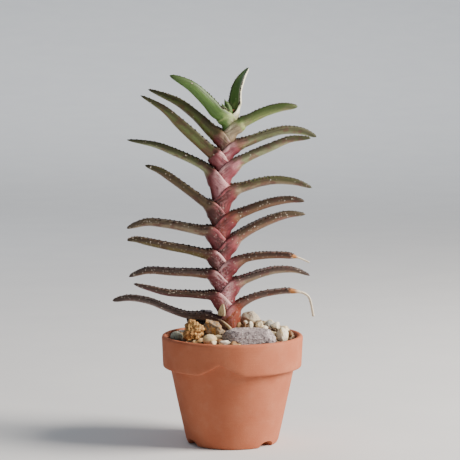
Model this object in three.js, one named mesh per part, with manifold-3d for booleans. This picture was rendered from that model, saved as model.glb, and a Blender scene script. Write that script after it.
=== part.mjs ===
// A potted hybrid gasteria: a tall two-ranked succulent in a small terracotta pot with gravel on top.
// Millimetres, +Z up. The origin is the middle of the pot's underside. The plant's two ranks of leaves
// lie along -X (left) and +X (right), and the side seen in the photo faces -Y.

import * as THREE from 'three';
import Module from 'manifold-3d';

const wasm = await Module();
wasm.setup();

// Driving sizes of the pot.
const POT_HEIGHT = 61;
const RIM_RADIUS = 40;
const LIP_WALL = 3.4;
const FOOT_RADIUS = 25.8;
const BODY_TOP_RADIUS = 35.1;
const BAND_FOOT = 43;
const BAND_FOOT_RADIUS = 39.1;
const WALL_INSIDE = 3.8;
const STEP_FOOT = 51.5;
const STEP_TOP = 54.5;
const FLOOR = 5.5;
const CHEVRON_DEPTH = 6.5;
const CHEVRON_HALF_ANGLE = 19.5;
const CHEVRONS_AT = [-10, 110, 230];
const ARCHES_AT = [48, -61, 173.5];
const ARCH_HALF_WIDTH = 7.4;
const ARCH_HEIGHT = 3.9;
const DRAIN_RADIUS = 2.4;
const DRAIN_AT = 16;

// Driving sizes of the plant and of what it stands in.
const GAP = 0.4;
const SHEATH_WALL = 0.85;
const SHEATH_NODES = 2.3;
const CORE_RADIUS = 2.9;
const CORE_FOOT = 50;
const CORE_TOP = 188;
const SOIL_TOP = 55.2;
const MOUND = 5;
const GRIT_LAYER = 2.2;
const GRIT_COUNT = 58;
const STEM_HOLE = 8.6;

// Where the stem's centre line leans to, as pairs of height and sideways shift.
const LEAN = [
  [45, 0], [66, -0.7], [80, -3.4], [97, -5.5], [110, -6.1], [125, -6.5], [137, -6.5],
  [148, -6], [160, -4.8], [171, -2.9], [177, -1.5], [183, -0.3], [192, 0.4],
];

// One row a leaf from the lowest up: name, height at which its margins leave the stem, turn of the
// leaf about the stem in degrees (plus is away from -Y), half width, thickness, roll about its own
// line in degrees, and the middle line of the blade as x and z.
const LEAVES = [
  ['leaf_left_10', 70, 4, 4.6, 3.7, 0,
    [-15.4, 71.1, -26.2, 71.8, -36.3, 75.1, -47.1, 79.4, -58.5, 81.2, -68, 79.5]],
  ['leaf_right_10', 79, -3, 4.3, 3.5, 0,
    [9.2, 81, 18.2, 84.1, 29.2, 85.8, 36.4, 85.5, 40.8, 84.4, 43.8, 80.9, 45.7, 71.6]],
  ['leaf_left_09', 86, -5, 4.6, 3.8, 0,
    [-14.9, 83.3, -25, 84.1, -36.6, 85, -47.6, 87.9, -55.5, 90.2]],
  ['leaf_right_09', 92.4, 5, 4.5, 4.1, 0,
    [7.7, 92.3, 16.2, 95.3, 25.2, 97.3, 35.4, 97.1, 44, 94]],
  ['leaf_left_08', 98.5, 5, 4.7, 4.3, 0,
    [-15.6, 95.3, -22.9, 95.8, -34.6, 96.2, -47, 96.9, -53.6, 95.3, -58.6, 93.2]],
  ['leaf_right_08', 104, -6, 4.5, 4.3, 0,
    [8.3, 104.6, 18.4, 106.1, 29.3, 106.3, 36.8, 105.1, 43.2, 102.4]],
  ['leaf_left_07', 109.7, -6, 4.8, 4.5, 0,
    [-15.4, 106.8, -24.9, 109.2, -35.6, 111.3, -47.3, 113.9, -54.2, 115.4, -59, 115]],
  ['leaf_right_07', 116.2, 5, 4.7, 5.2, 0,
    [4.2, 116.9, 11.7, 121.4, 21.8, 125.9, 31.9, 128.8, 41.3, 128.8]],
  ['leaf_left_06', 123, 4, 4.8, 4.7, 0,
    [-17.4, 119.9, -25.6, 121.4, -35.6, 123.2, -47.3, 124.4, -54.5, 122.8, -59.6, 120.8]],
  ['leaf_right_06', 130.2, -5, 4.6, 4.9, 0,
    [4.6, 129.7, 14, 133.5, 23.4, 136.4, 32.5, 137.7, 40.4, 136.8]],
  ['leaf_left_05', 136.6, -4, 4.6, 4.6, 0,
    [-15.8, 135.9, -22.1, 140.7, -33.3, 149, -41.1, 154, -48.9, 156.9]],
  ['leaf_right_05', 145.5, 5, 4.8, 4.8, 0,
    [5.4, 144.1, 15.8, 147, 25.1, 148.2, 35.8, 147, 44.8, 143.8]],
  ['leaf_left_04', 154.5, 3, 4.7, 4.1, 0,
    [-15.2, 155.5, -21.8, 159.2, -33, 164.2, -44.4, 168.4, -59.3, 170.9]],
  ['leaf_right_04', 159.5, -7, 4.6, 5.2, 0,
    [5.6, 159.9, 13.9, 163.9, 22, 167.3, 32.3, 171.5, 43.7, 172.2]],
  ['leaf_left_03', 165.5, -6, 4.8, 5.6, 8,
    [-12, 164.4, -20.3, 171.5, -29.8, 180.2, -38.8, 188.6, -51.1, 195.9]],
  ['leaf_right_03', 170.8, 6, 4.7, 5.1, 0,
    [8, 169.8, 18.9, 173.7, 29, 176.3, 39, 175.7, 47.4, 172.4]],
  ['leaf_left_02', 176.2, 6, 4.7, 5.6, 8,
    [-11.5, 175.9, -20, 184.2, -29.6, 191.5, -38.7, 195.7, -47.3, 199.1]],
  ['leaf_right_02', 182, -8, 4.4, 5.6, 0,
    [8.8, 182.2, 18.3, 186.8, 27.8, 189.4, 36.4, 189.7]],
  ['leaf_left_01', 187, -22, 4.5, 5.6, 16,
    [-9, 186.2, -14.1, 192, -23.6, 201, -34.6, 207.1]],
  ['leaf_right_01', 190, 50, 4.2, 3.2, 0,
    [2.3, 193, 3, 199, 5.3, 205, 9.3, 211.3]],
  ['leaf_young', 191.4, 8, 1.9, 2.4, 0,
    [-3.8, 190.6, -4.6, 193.8]],
];

// Leaves whose end has dried: the share of the blade where it withers, and what is left of its width.
const WITHERED = { leaf_right_10: [0.62, 0.42], leaf_right_08: [0.8, 0.28] };

// Leaves whose foot swells less or more than usual where the underside runs down into the sheath.
const FOOT_SWELL = { leaf_left_10: 0.3, leaf_right_10: 0.4, leaf_left_01: 1.2 };

// How much further down the stem the foot of some leaves stays swollen, in millimetres.
const HIPS = {
  leaf_left_09: 1, leaf_left_08: 1, leaf_left_07: 1, leaf_left_06: 1, leaf_left_05: 0.8, leaf_left_04: 0.5,
};

// How blunt a leaf's end is: a power of the share along the blade that its thickness falls away by.
const BLUNT = { leaf_left_10: 14, leaf_left_03: 3, leaf_left_02: 2.6 };

// The bigger stones: name, centre, half sizes, turn in degrees, how angular it is, colour.
const STONES = [
  ['stone_lavender', [9.5, -25, 62.8], [14.4, 6.8, 5], 4, 0.75, 0xb7b3bc],
  ['stone_golden', [-21.5, -17.5, 65.2], [5, 4.6, 5.4], 20, 1, 0xb9793c],
  ['stone_grey_orange', [-11.4, -13.6, 66], [5.8, 5, 5.4], -15, 0.8, 0x8d8378],
  ['stone_charcoal', [-17.5, 13.2, 68.3], [9.8, 6.6, 7.2], 12, 1, 0x35302e],
  ['stone_cream', [-12.3, -28.6, 62.2], [4.1, 3.9, 3.2], 10, 0.1, 0xd8c9a8],
  ['stone_green_grey', [-31.2, -11, 61.2], [3.4, 3.8, 3.1], 0, 0.2, 0x9a9c8c],
  ['stone_beige', [10.6, 7.2, 68.6], [5, 5, 4.3], 30, 0.6, 0xa89f90],
  ['stone_white_long', [27.8, -17.4, 62.6], [3.7, 4.2, 5], -20, 0.1, 0xe2dccb],
  ['stone_white_round', [21.2, -1, 65.6], [3.2, 3.4, 3.4], 0, 0.1, 0xd3cfc6],
];

// Chips of stone that stick up out of the grit: centre, half sizes, turn in degrees.
const CHIPS = [
  [[3.6, -9.8, 65.8], [1.6, 1.5, 4.2], 10], [[6.8, -10.6, 65.4], [1.6, 1.5, 4.2], -15],
  [[10.2, -10.4, 67], [1.5, 1.7, 2.9], 5], [[15.5, -8.4, 67.2], [2.3, 2.1, 2.8], 30],
  [[24.6, -4.6, 66.6], [2.6, 2.2, 2.4], 0], [[29.4, -7.6, 64.8], [2.8, 2.4, 2.4], 40],
  [[32.2, -11, 62.8], [1.9, 2.2, 2], 20], [[-4.3, -32, 60.8], [3.4, 2, 1.9], 4], [[-10.6, -31.8, 60.3], [2.4, 1.9, 2.6], 15],
];

const DEG = Math.PI / 180;
const clamp = (value, low, high) => Math.min(high, Math.max(low, value));
const mix = (a, b, share) => a + (b - a) * share;
const ease = (low, high, value) => {
  const share = clamp((value - low) / (high - low), 0, 1);
  return share * share * (3 - 2 * share);
};

// A small seeded source of random numbers from 0 to 1.
function randomSource(seed) {
  let state = seed;
  return () => {
    state = (state * 16807) % 2147483647;
    return state / 2147483647;
  };
}

function table(rows, at) {
  let row = 1;
  while (row < rows.length - 1 && rows[row][0] < at) row += 1;
  const share = clamp((at - rows[row - 1][0]) / (rows[row][0] - rows[row - 1][0]), 0, 1);
  return mix(rows[row - 1][1], rows[row][1], share);
}

// Closed bodies to and from the joiner.
function solidOf(geometry) {
  const mesh = new wasm.Mesh({
    numProp: 3,
    vertProperties: new Float32Array(geometry.getAttribute('position').array),
    triVerts: new Uint32Array(geometry.index.array),
  });
  return new wasm.Manifold(mesh);
}

function geometryOf(solid) {
  const mesh = solid.getMesh();
  const geometry = new THREE.BufferGeometry();
  geometry.setAttribute('position', new THREE.BufferAttribute(new Float32Array(mesh.vertProperties), 3));
  geometry.setIndex(new THREE.BufferAttribute(new Uint32Array(mesh.triVerts), 1));
  return geometry;
}

// A closed body from loops of points, each loop joined to the next and both ends closed.
// Loops may differ in count: each point carries its share of the way round.
function skin(loops) {
  const points = [];
  const faces = [];
  const starts = loops.map((loop) => {
    const start = points.length;
    loop.points.forEach((point) => points.push(point));
    return start;
  });
  for (let i = 0; i + 1 < loops.length; i += 1) {
    const a = loops[i];
    const b = loops[i + 1];
    let ia = 0;
    let ib = 0;
    while (ia < a.points.length || ib < b.points.length) {
      const nextA = ia + 1 < a.points.length ? a.share[ia + 1] : 1 - a.share[0];
      const nextB = ib + 1 < b.points.length ? b.share[ib + 1] : 1 - b.share[0];
      const pa = starts[i] + (ia % a.points.length);
      const pb = starts[i + 1] + (ib % b.points.length);
      const stepA = ib >= b.points.length || (ia < a.points.length && nextA <= nextB);
      if (stepA) {
        faces.push(pa, starts[i] + ((ia + 1) % a.points.length), pb);
        ia += 1;
      } else {
        faces.push(pa, starts[i + 1] + ((ib + 1) % b.points.length), pb);
        ib += 1;
      }
    }
  }
  const last = loops.length - 1;
  capLoop(faces, starts[0], loops[0].points.length, true);
  capLoop(faces, starts[last], loops[last].points.length, false);
  return closed(points, faces);
}

// A cap across a flat leaf section: the two rows of points from one margin to the other, zipped.
function capLoop(faces, start, count, first) {
  let low = 1;
  let high = count - 1;
  const add = (a, b, c) => (first ? faces.push(a, c, b) : faces.push(a, b, c));
  add(start, start + low, start + high);
  while (low + 1 < high) {
    add(start + low, start + low + 1, start + high);
    low += 1;
    if (low + 1 < high) {
      add(start + low, start + high - 1, start + high);
      high -= 1;
    }
  }
}

function closed(points, faces) {
  const geometry = new THREE.BufferGeometry();
  geometry.setAttribute('position', new THREE.Float32BufferAttribute(points.flat(), 3));
  geometry.setIndex(faces);
  return volumeOf(geometry) < 0 ? flipped(geometry) : geometry;
}

function volumeOf(geometry) {
  const p = geometry.getAttribute('position');
  const index = geometry.index.array;
  const [a, b, c] = [new THREE.Vector3(), new THREE.Vector3(), new THREE.Vector3()];
  let sum = 0;
  for (let i = 0; i < index.length; i += 3) {
    a.fromBufferAttribute(p, index[i]);
    b.fromBufferAttribute(p, index[i + 1]);
    c.fromBufferAttribute(p, index[i + 2]);
    sum += a.dot(b.cross(c)) / 6;
  }
  return sum;
}

function flipped(geometry) {
  const index = Array.from(geometry.index.array);
  for (let i = 0; i < index.length; i += 3) {
    [index[i + 1], index[i + 2]] = [index[i + 2], index[i + 1]];
  }
  geometry.setIndex(index);
  return geometry;
}

// A body of revolution from a closed outline of radius and height, which may vary with the angle.
function turned(outline, segments) {
  const points = [];
  const faces = [];
  const rows = outline(0).length;
  for (let s = 0; s < segments; s += 1) {
    const angle = (s / segments) * 2 * Math.PI;
    outline(angle / DEG).forEach(([r, z]) => points.push([r * Math.sin(angle), -r * Math.cos(angle), z]));
  }
  const bottom = points.push([0, 0, outline(0)[0][1]]) - 1;
  const top = points.push([0, 0, outline(0)[rows - 1][1]]) - 1;
  for (let s = 0; s < segments; s += 1) {
    const here = s * rows;
    const next = ((s + 1) % segments) * rows;
    faces.push(bottom, here, next, top, next + rows - 1, here + rows - 1);
    for (let row = 0; row + 1 < rows; row += 1) {
      faces.push(here + row, here + row + 1, next + row);
      faces.push(here + row + 1, next + row + 1, next + row);
    }
  }
  return closed(points, faces);
}

// The pot. Angles run from the front (-Y) toward +X.
function angleFrom(angle, centre) {
  return Math.abs(((angle - centre + 540) % 360) - 180);
}

function chevron(angle) {
  const away = Math.min(...CHEVRONS_AT.map((at) => angleFrom(angle, at)));
  const share = clamp(1 - away / CHEVRON_HALF_ANGLE, 0, 1);
  return CHEVRON_DEPTH * share ** 1.1;
}

const bodyRadius = (z) => mix(FOOT_RADIUS, BODY_TOP_RADIUS, (z / BAND_FOOT) ** 0.95);
const insideRadius = (z) => bodyRadius(z) - WALL_INSIDE;

function potGeometry() {
  const outline = (angle) => {
    const foot = BAND_FOOT + chevron(angle);
    const rim = RIM_RADIUS;
    return [
      [FOOT_RADIUS - 0.8, 0],
      [FOOT_RADIUS, 0.8],
      [bodyRadius(14), 14],
      [bodyRadius(28), 28],
      [bodyRadius(foot - 0.6), foot - 0.6],
      [bodyRadius(foot), foot],
      [BAND_FOOT_RADIUS - 0.5, foot],
      [BAND_FOOT_RADIUS + 0.1, foot + 0.7],
      [rim - 0.25, 56.5],
      [rim, POT_HEIGHT - 1.7],
      [rim - 0.5, POT_HEIGHT - 0.5],
      [rim - 1.6, POT_HEIGHT],
      [rim - 2.6, POT_HEIGHT - 0.4],
      [rim - LIP_WALL, POT_HEIGHT - 1.8],
      [rim - LIP_WALL - 0.4, STEP_TOP],
      [insideRadius(STEP_FOOT), STEP_FOOT],
      [insideRadius(FLOOR), FLOOR],
    ];
  };
  let pot = solidOf(turned(outline, 60));
  ARCHES_AT.forEach((at) => {
    const turn = new THREE.Matrix4().makeRotationZ(at * DEG);
    const arch = [];
    for (let i = 0; i <= 8; i += 1) {
      const angle = Math.PI * (1 - i / 8);
      arch.push([ARCH_HALF_WIDTH * Math.cos(angle), ARCH_HEIGHT * Math.sin(angle) ** 0.8]);
    }
    const shape = [[-ARCH_HALF_WIDTH, -2], ...arch, [ARCH_HALF_WIDTH, -2]];
    const rows = [
      { y: -40, share: 1 },
      { y: -DRAIN_AT, share: 0.55 },
    ];
    const loops = rows.map(({ y, share }) => ({
      points: shape.map(([x, z]) => [x * share, y, z > 0 ? z * (0.4 + 0.6 * share) : z]),
      share: shape.map((_, i) => i / shape.length),
    }));
    const tunnel = skin(loops);
    tunnel.applyMatrix4(turn);
    const drain = new THREE.CylinderGeometry(DRAIN_RADIUS, DRAIN_RADIUS, 20, 14, 1);
    drain.rotateX(Math.PI / 2);
    drain.translate(0, -DRAIN_AT - 0.6, 4);
    drain.applyMatrix4(turn);
    pot = pot.subtract(solidOf(tunnel)).subtract(solidOf(welded(drain)));
  });
  return geometryOf(pot);
}

// One point for each place, so that the joiner sees a closed body.
function welded(geometry) {
  const source = geometry.getAttribute('position');
  const index = geometry.index ? Array.from(geometry.index.array) : [...Array(source.count).keys()];
  const seen = new Map();
  const points = [];
  const place = index.map((i) => {
    const point = [source.getX(i), source.getY(i), source.getZ(i)];
    const key = point.map((value) => Math.round(value * 1e4)).join(' ');
    if (!seen.has(key)) seen.set(key, points.push(point) - 1);
    return seen.get(key);
  });
  const faces = [];
  for (let i = 0; i < place.length; i += 3) {
    const [a, b, c] = [place[i], place[i + 1], place[i + 2]];
    if (a !== b && b !== c && c !== a) faces.push(a, b, c);
  }
  return closed(points, faces);
}

// The soil and the grit rise toward the stem.
const mound = (r) => MOUND * (1 - (r / 36) ** 2);

// A straight hole for the stem, following its lean.
function stemHole(radius, low, high) {
  const loops = [low, mix(low, high, 0.5), high].map((z) => {
    const points = [];
    for (let i = 0; i < 20; i += 1) {
      const angle = (i / 20) * 2 * Math.PI;
      points.push([table(LEAN, z) + radius * Math.cos(angle), radius * Math.sin(angle), z]);
    }
    return { points, share: points.map((_, i) => i / 20) };
  });
  return solidOf(skin(loops));
}

function soilGeometry() {
  const outline = () => [
    [insideRadius(FLOOR) - GAP, FLOOR + GAP],
    [insideRadius(STEP_FOOT) - GAP, STEP_FOOT + 0.6 * GAP],
    [RIM_RADIUS - LIP_WALL - 0.4 - GAP, STEP_TOP + 0.8 * GAP],
    [RIM_RADIUS - LIP_WALL - 0.4 - GAP, SOIL_TOP],
    [28, SOIL_TOP + mound(28)],
    [16, SOIL_TOP + mound(16)],
    [6, SOIL_TOP + mound(6)],
  ];
  const soil = solidOf(turned(outline, 26));
  return geometryOf(soil.subtract(stemHole(5.3, CORE_FOOT - GAP, 75)));
}

// A pebble or rock: a ball pulled to its half sizes, its corners knocked off along seeded planes.
function rockGeometry(centre, half, turn, angular, detail, random) {
  const ball = welded(new THREE.IcosahedronGeometry(1, detail));
  const planes = [];
  for (let i = 0; i < 9; i += 1) {
    const up = 2 * random() - 1;
    const side = Math.sqrt(1 - up * up);
    const angle = 2 * Math.PI * random();
    const reach = mix(1.02, 0.66 + 0.2 * random(), angular);
    planes.push([side * Math.cos(angle), side * Math.sin(angle), up, reach]);
  }
  const p = ball.getAttribute('position');
  const c = Math.cos(turn * DEG);
  const s = Math.sin(turn * DEG);
  for (let i = 0; i < p.count; i += 1) {
    const v = [p.getX(i), p.getY(i), p.getZ(i)];
    planes.forEach(([nx, ny, nz, reach]) => {
      const over = v[0] * nx + v[1] * ny + v[2] * nz - reach;
      if (over > 0) {
        v[0] -= over * nx;
        v[1] -= over * ny;
        v[2] -= over * nz;
      }
    });
    const x = v[0] * half[0];
    const y = v[1] * half[1];
    p.setXYZ(i, centre[0] + x * c - y * s, centre[1] + x * s + y * c, centre[2] + v[2] * half[2]);
  }
  return ball;
}

function stoneGeometry([, centre, half, turn, angular], grow, index) {
  const wide = half.map((value) => value + grow);
  const detail = half[0] > 4.9 ? 2 : 1;
  return rockGeometry(centre, wide, turn, angular, detail, randomSource(101 + 17 * index));
}

// Where the small pebbles of the grit lie: a seeded spiral that leaves the stem free.
function gritPlaces() {
  const random = randomSource(4711);
  const places = [];
  for (let i = 0; i < GRIT_COUNT; i += 1) {
    const size = 2.4 + 1.9 * random() ** 1.6;
    const r = 33.6 * Math.sqrt((i + 0.6) / GRIT_COUNT) + (random() - 0.5);
    const angle = i * 2.39996 + (random() - 0.5) * 0.25;
    const lift = 0.7 * random();
    const flat = 0.62 + 0.3 * random();
    const turn = 360 * random();
    places.push({ r, angle, size, lift, flat, turn });
  }
  return places.filter(({ r }) => r > STEM_HOLE + 1.2);
}

// The grit lies in a higher heap to the right of the stem and behind it, by an angle from the front.
const heap = (angle, r) => 4.8 * Math.max(0, Math.cos((angle - 118) * DEG)) ** 0.5 * (1 - (r / 38) ** 4);

function gritGeometry() {
  const rim = RIM_RADIUS - LIP_WALL - 0.5 - GAP;
  const low = SOIL_TOP + GAP;
  const slab = (side, lift, heaped) => (angle) => [
    [side, lift < 0 ? low - 6 : low],
    [side, low + lift],
    ...[28, 16, 6].map((r) => [r, low + lift + mound(r) + heaped * heap(angle, r)]),
  ];
  let grit = solidOf(turned(slab(rim, GRIT_LAYER, 1), 18));
  const random = randomSource(99);
  gritPlaces().forEach(({ r, angle, size, lift, flat, turn }) => {
    const reach = Math.min(r, rim - size - 0.4);
    const z = low + GRIT_LAYER + mound(reach) + heap(angle / DEG, reach) + lift - 0.1;
    const centre = [reach * Math.sin(angle), -reach * Math.cos(angle), z];
    const half = [size * 1.15, size * 0.95, Math.max(size * flat, 1.3)];
    grit = grit.add(solidOf(rockGeometry(centre, half, turn, 0.4, 0, random)));
  });
  CHIPS.forEach(([centre, half, turn]) => {
    grit = grit.add(solidOf(rockGeometry(centre, half, turn, 0.5, 0, random)));
  });
  grit = grit.subtract(solidOf(turned(slab(rim + 1, -0.001, 0), 18)));
  STONES.forEach((row, index) => {
    grit = grit.subtract(solidOf(stoneGeometry(row, GAP, index)));
  });
  return geometryOf(grit.subtract(stemHole(STEM_HOLE, 40, 90)));
}

// The stem's core, thinner toward the crown, on a knobbly foot in the soil's hole.
const coreRadius = (z) => (z < 158 ? CORE_RADIUS : mix(CORE_RADIUS, 1.3, clamp((z - 158) / 30, 0, 1)));

function stemGeometry() {
  const heights = [
    CORE_FOOT, 52, 56, 66, 73, 80, 88, 97, 104, 110, 118, 125, 137, 148, 160, 171, 177, 183, CORE_TOP,
  ];
  const loops = heights.map((z, row) => {
    const points = [];
    for (let i = 0; i < 12; i += 1) {
      const angle = (i / 12) * 2 * Math.PI;
      const swell = row === 1 ? 1.35 + 0.15 * Math.cos(3 * angle) : 1;
      const radius = (row === 0 ? 2 : coreRadius(z)) * swell;
      points.push([table(LEAN, z) + radius * Math.cos(angle), radius * Math.sin(angle), z]);
    }
    return { points, share: points.map((_, i) => i / 12) };
  });
  return skin(loops);
}

// How many leaves up the stem a height is, counted from the lowest leaf.
function rank(z) {
  const last = LEAVES.length - 1;
  if (z <= LEAVES[0][1]) return (z - LEAVES[0][1]) / 6;
  if (z >= LEAVES[last][1]) return last + (z - LEAVES[last][1]) / 3;
  let i = 0;
  while (LEAVES[i + 1][1] < z) i += 1;
  return i + (z - LEAVES[i][1]) / (LEAVES[i + 1][1] - LEAVES[i][1]);
}

function heightOfRank(value) {
  if (value <= 0) return LEAVES[0][1] + 6 * value;
  const i = Math.min(Math.floor(value), LEAVES.length - 2);
  return mix(LEAVES[i][1], LEAVES[i + 1][1], value - i);
}

// Inside radius of one leaf's sheath: each sheath widens upward to clear the younger ones within it.
function sheathRadius(z, index) {
  const within = Math.min(3, LEAVES.length - 1 - index + 0.1);
  const layer = clamp(rank(z) - index + SHEATH_NODES, 0, within);
  return coreRadius(z) + GAP + (SHEATH_WALL + GAP) * layer;
}

// One section: the channelled upper face from margin to margin in a number of steps, then the back.
// Shares of the way round follow the angle about the stem, so that columns run straight up a sheath.
const COLUMN = 172 / 6;
const BLADE_STEPS = 5;

function section(steps, reach, point) {
  const points = [];
  const share = [];
  for (let i = 0; i < 2 * steps; i += 1) {
    const back = i > steps;
    const a = back ? 1 - (2 * (i - steps)) / steps : -1 + (2 * i) / steps;
    points.push(point(a, back));
    share.push(back ? 0.75 - 0.25 * a * reach : 0.25 + 0.25 * a * reach);
  }
  return { points, share };
}

// Depth of the leaf under its upper face at a share of the way from the middle to a margin. In the
// sheath it is a thin wall with a swelling on the blade's side, in the blade a rounded back.
const bladeDepth = (a, keel) => keel * (1 - a * a) ** 0.6;
const sheathDepth = (a, angle, keel) => {
  const swell = Math.max(0, 1 - (angle / (72 * DEG)) ** 2) ** 1.2;
  return SHEATH_WALL * (1 - Math.abs(a) ** 8) ** 0.5 + (keel - SHEATH_WALL) * swell;
};

function leafGeometry(row) {
  const [name, exit, turn, halfWidth, thick, roll, line] = row;
  const index = LEAVES.indexOf(row);
  const left = line[0] < table(LEAN, exit);
  const cosTurn = Math.cos(turn * DEG);
  const outward = [left ? -cosTurn : cosTurn, Math.sin(turn * DEG)];
  const place = (out, side, z) => [
    table(LEAN, z) + outward[0] * out - outward[1] * side,
    outward[1] * out + outward[0] * side,
    z,
  ];

  // The sheath in rows up to where the blade leaves the stem: drop below the exit as a share of its
  // reach, tilt, columns it goes round each way, how much thicker it is under the blade.
  const fat = thick / 4.6;
  const rise = Math.atan2(line[3] - line[1], Math.abs(line[2] - line[0])) / DEG;
  const gusset = mix(1.22, 1, ease(5, 35, rise));
  const reach = Math.max(sheathRadius(exit, index), 5 * Math.min(1, fat));
  const foot = Math.min(heightOfRank(index - SHEATH_NODES), exit - 1.85 * reach);
  const swell = fat * (FOOT_SWELL[name] ?? 1) * mix(1, 0.3, ease(40, 75, rise));
  const hips = HIPS[name] ?? 0;
  const rows = [
    [(exit - foot) / reach, 0, 6, 0],
    [1.63, 0, 6, 0.7, 1],
    [1.47, 6, 5, 1.2, 1],
    [1.32, 15, 4, 1.6, 0.8],
    [0.92, 27, 3, 2.5 * gusset],
    [0.41, 42, 2, 3.3 * gusset],
  ];
  const loops = rows.map(([drop, tilt, columns, thicker, hip = 0]) => section(2 * columns, columns / 6, (a, back) => {
    const angle = a * columns * COLUMN * DEG;
    const slope = Math.tan(tilt * DEG);
    const keel = SHEATH_WALL + swell * thicker + hips * hip;
    const z = exit - drop * reach;
    const height = z + sheathRadius(z, index) * slope * (1 - Math.cos(angle));
    const radius = sheathRadius(height, index);
    const depth = back ? sheathDepth(a, angle, keel) : 0;
    const out = radius * Math.cos(angle) + depth * Math.cos(angle) * Math.cos(tilt * DEG);
    const sink = depth * Math.cos(angle) * Math.sin(tilt * DEG);
    return place(out, (radius + depth) * Math.sin(angle), height - sink);
  }));

  // The blade: a curve from where it leaves the stem through the row's own points.
  const startZ = exit - 0.41 * reach;
  const curvePoints = [
    new THREE.Vector2(sheathRadius(exit - reach, index), exit - reach),
    new THREE.Vector2(sheathRadius(startZ, index), startZ),
  ];
  for (let i = 0; i < line.length; i += 2) {
    curvePoints.push(new THREE.Vector2(Math.abs(line[i] - table(LEAN, line[i + 1])) / cosTurn, line[i + 1]));
  }
  const curve = new THREE.SplineCurve(curvePoints);
  const first = 1 / (curvePoints.length - 1);
  const withered = WITHERED[name];
  const bands = name === 'leaf_young' ? 4 : withered ? 15 : 12;
  for (let k = 1; k <= bands; k += 1) {
    const t = 1 - (1 - k / bands) ** 1.12;
    const at = mix(first, 1, Math.min(t, 0.995));
    const p = curve.getPoint(at);
    const tangent = curve.getTangent(at);
    const lean = mix(Math.PI / 2 - 42 * DEG, Math.atan2(tangent.y, tangent.x), ease(-0.05, 0.24, t));
    const down = [Math.sin(lean), -Math.cos(lean)];
    const start = sheathRadius(startZ, index) * Math.sin(57 * DEG);
    let wide = mix(start, halfWidth, ease(0, 0.2, t)) * Math.max(1 - t ** 2.6, 0.002) ** 0.75;
    const blunt = BLUNT[name] ?? 5;
    let deep = thick * Math.max(1 - t ** blunt, 0.002) ** 0.7 * (1 + 0.8 * gusset * Math.exp(-8 * t));
    if (withered) {
      const left = 1 - ease(withered[0] - 0.16, withered[0] + 0.03, t) * (1 - withered[1]);
      wide = mix(start, halfWidth, ease(0, 0.2, t)) * left * (1 - 0.45 * t);
      deep = thick * left * (1 + 0.6 * Math.exp(-8 * t)) * (1 - 0.3 * t);
    }
    wide = Math.max(wide, 0.38);
    deep = Math.max(deep, 0.7);
    if (k % 2 === 0 && k < bands - 1 && bands === 12) wide += 0.22;
    const open = (24 + 33 * Math.exp(-5 * t)) * DEG;
    const channel = Math.min(wide * Math.tan(open / 2), deep * 0.45);
    const arc = 2 * Math.atan(channel / wide);
    const radius = wide / Math.sin(arc);
    const keel = deep - channel;
    const raised = (deep / 2 - channel) * ease(0, 0.15, t);
    const rolled = roll * DEG * ease(0.1, 0.6, t);
    const ring = section(BLADE_STEPS, 2 / 6, (a, back) => {
      const angle = a * arc;
      const depth = back ? bladeDepth(a, keel) : 0;
      const along = (radius + depth) * Math.cos(angle) - radius;
      const side = (radius + depth) * Math.sin(angle);
      const d = along * Math.cos(rolled) - side * Math.sin(rolled) - raised;
      const s = along * Math.sin(rolled) + side * Math.cos(rolled);
      return place(p.x + down[0] * d, s, p.y + down[1] * d);
    });
    loops.push(ring);
  }
  return skin(loops);
}

// A dry shred of old sheath standing against the foot of the stem, between the lowest leaves.
const FLAKE = { foot: 72.2, tall: 7, middle: 42, turn: 32, spread: 28, radius: 6.15, thick: 0.65 };

function flakeGeometry() {
  const loops = [];
  for (let k = 0; k <= 5; k += 1) {
    const t = k / 5;
    const z = FLAKE.foot + FLAKE.tall * t;
    const spread = mix(FLAKE.spread, 3, t ** 0.8);
    loops.push(section(3, 1, (a, back) => {
      const angle = (FLAKE.middle + FLAKE.turn * t + spread * a) * DEG;
      const radius = FLAKE.radius + 0.9 * t * t + (back ? FLAKE.thick : 0);
      return [table(LEAN, z) - radius * Math.cos(angle), -radius * Math.sin(angle), z];
    }));
  }
  return skin(loops);
}

function colourOf(name, index) {
  if (name === 'leaf_young' || index >= 17) return 0x7f9a3e;
  if (index >= 12) return 0x6f7a3a;
  if (index >= 6) return 0x6b6038;
  return 0x5e4a3a;
}

const plant = new THREE.Group();
plant.name = 'potted_hybrid_gasteria';

function addNode(name, geometry, color, roughness) {
  geometry.computeVertexNormals();
  const mesh = new THREE.Mesh(geometry, new THREE.MeshStandardMaterial({ color, roughness, metalness: 0 }));
  mesh.name = name;
  plant.add(mesh);
}

addNode('pot', potGeometry(), 0xb56a4c, 0.85);
addNode('soil', soilGeometry(), 0x3a2b22, 0.95);
addNode('grit', gritGeometry(), 0x9a8d7c, 0.85);
addNode('stem', stemGeometry(), 0x8a5a48, 0.7);
LEAVES.forEach((row, index) => addNode(row[0], leafGeometry(row), colourOf(row[0], index), 0.45));
STONES.forEach((row, index) => addNode(row[0], stoneGeometry(row, 0, index), row[5], 0.75));
addNode('dry_flake', flakeGeometry(), 0xcdb891, 0.8);

export default plant;
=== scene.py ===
# %% [markdown]
# # A potted hybrid gasteria
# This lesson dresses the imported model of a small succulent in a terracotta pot. The plant is two-ranked:
# its leaves stand in two rows, left and right, and each leaf wraps the stem with a thin sheath.
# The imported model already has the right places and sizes, so every piece here is made in the same frame.

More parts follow.
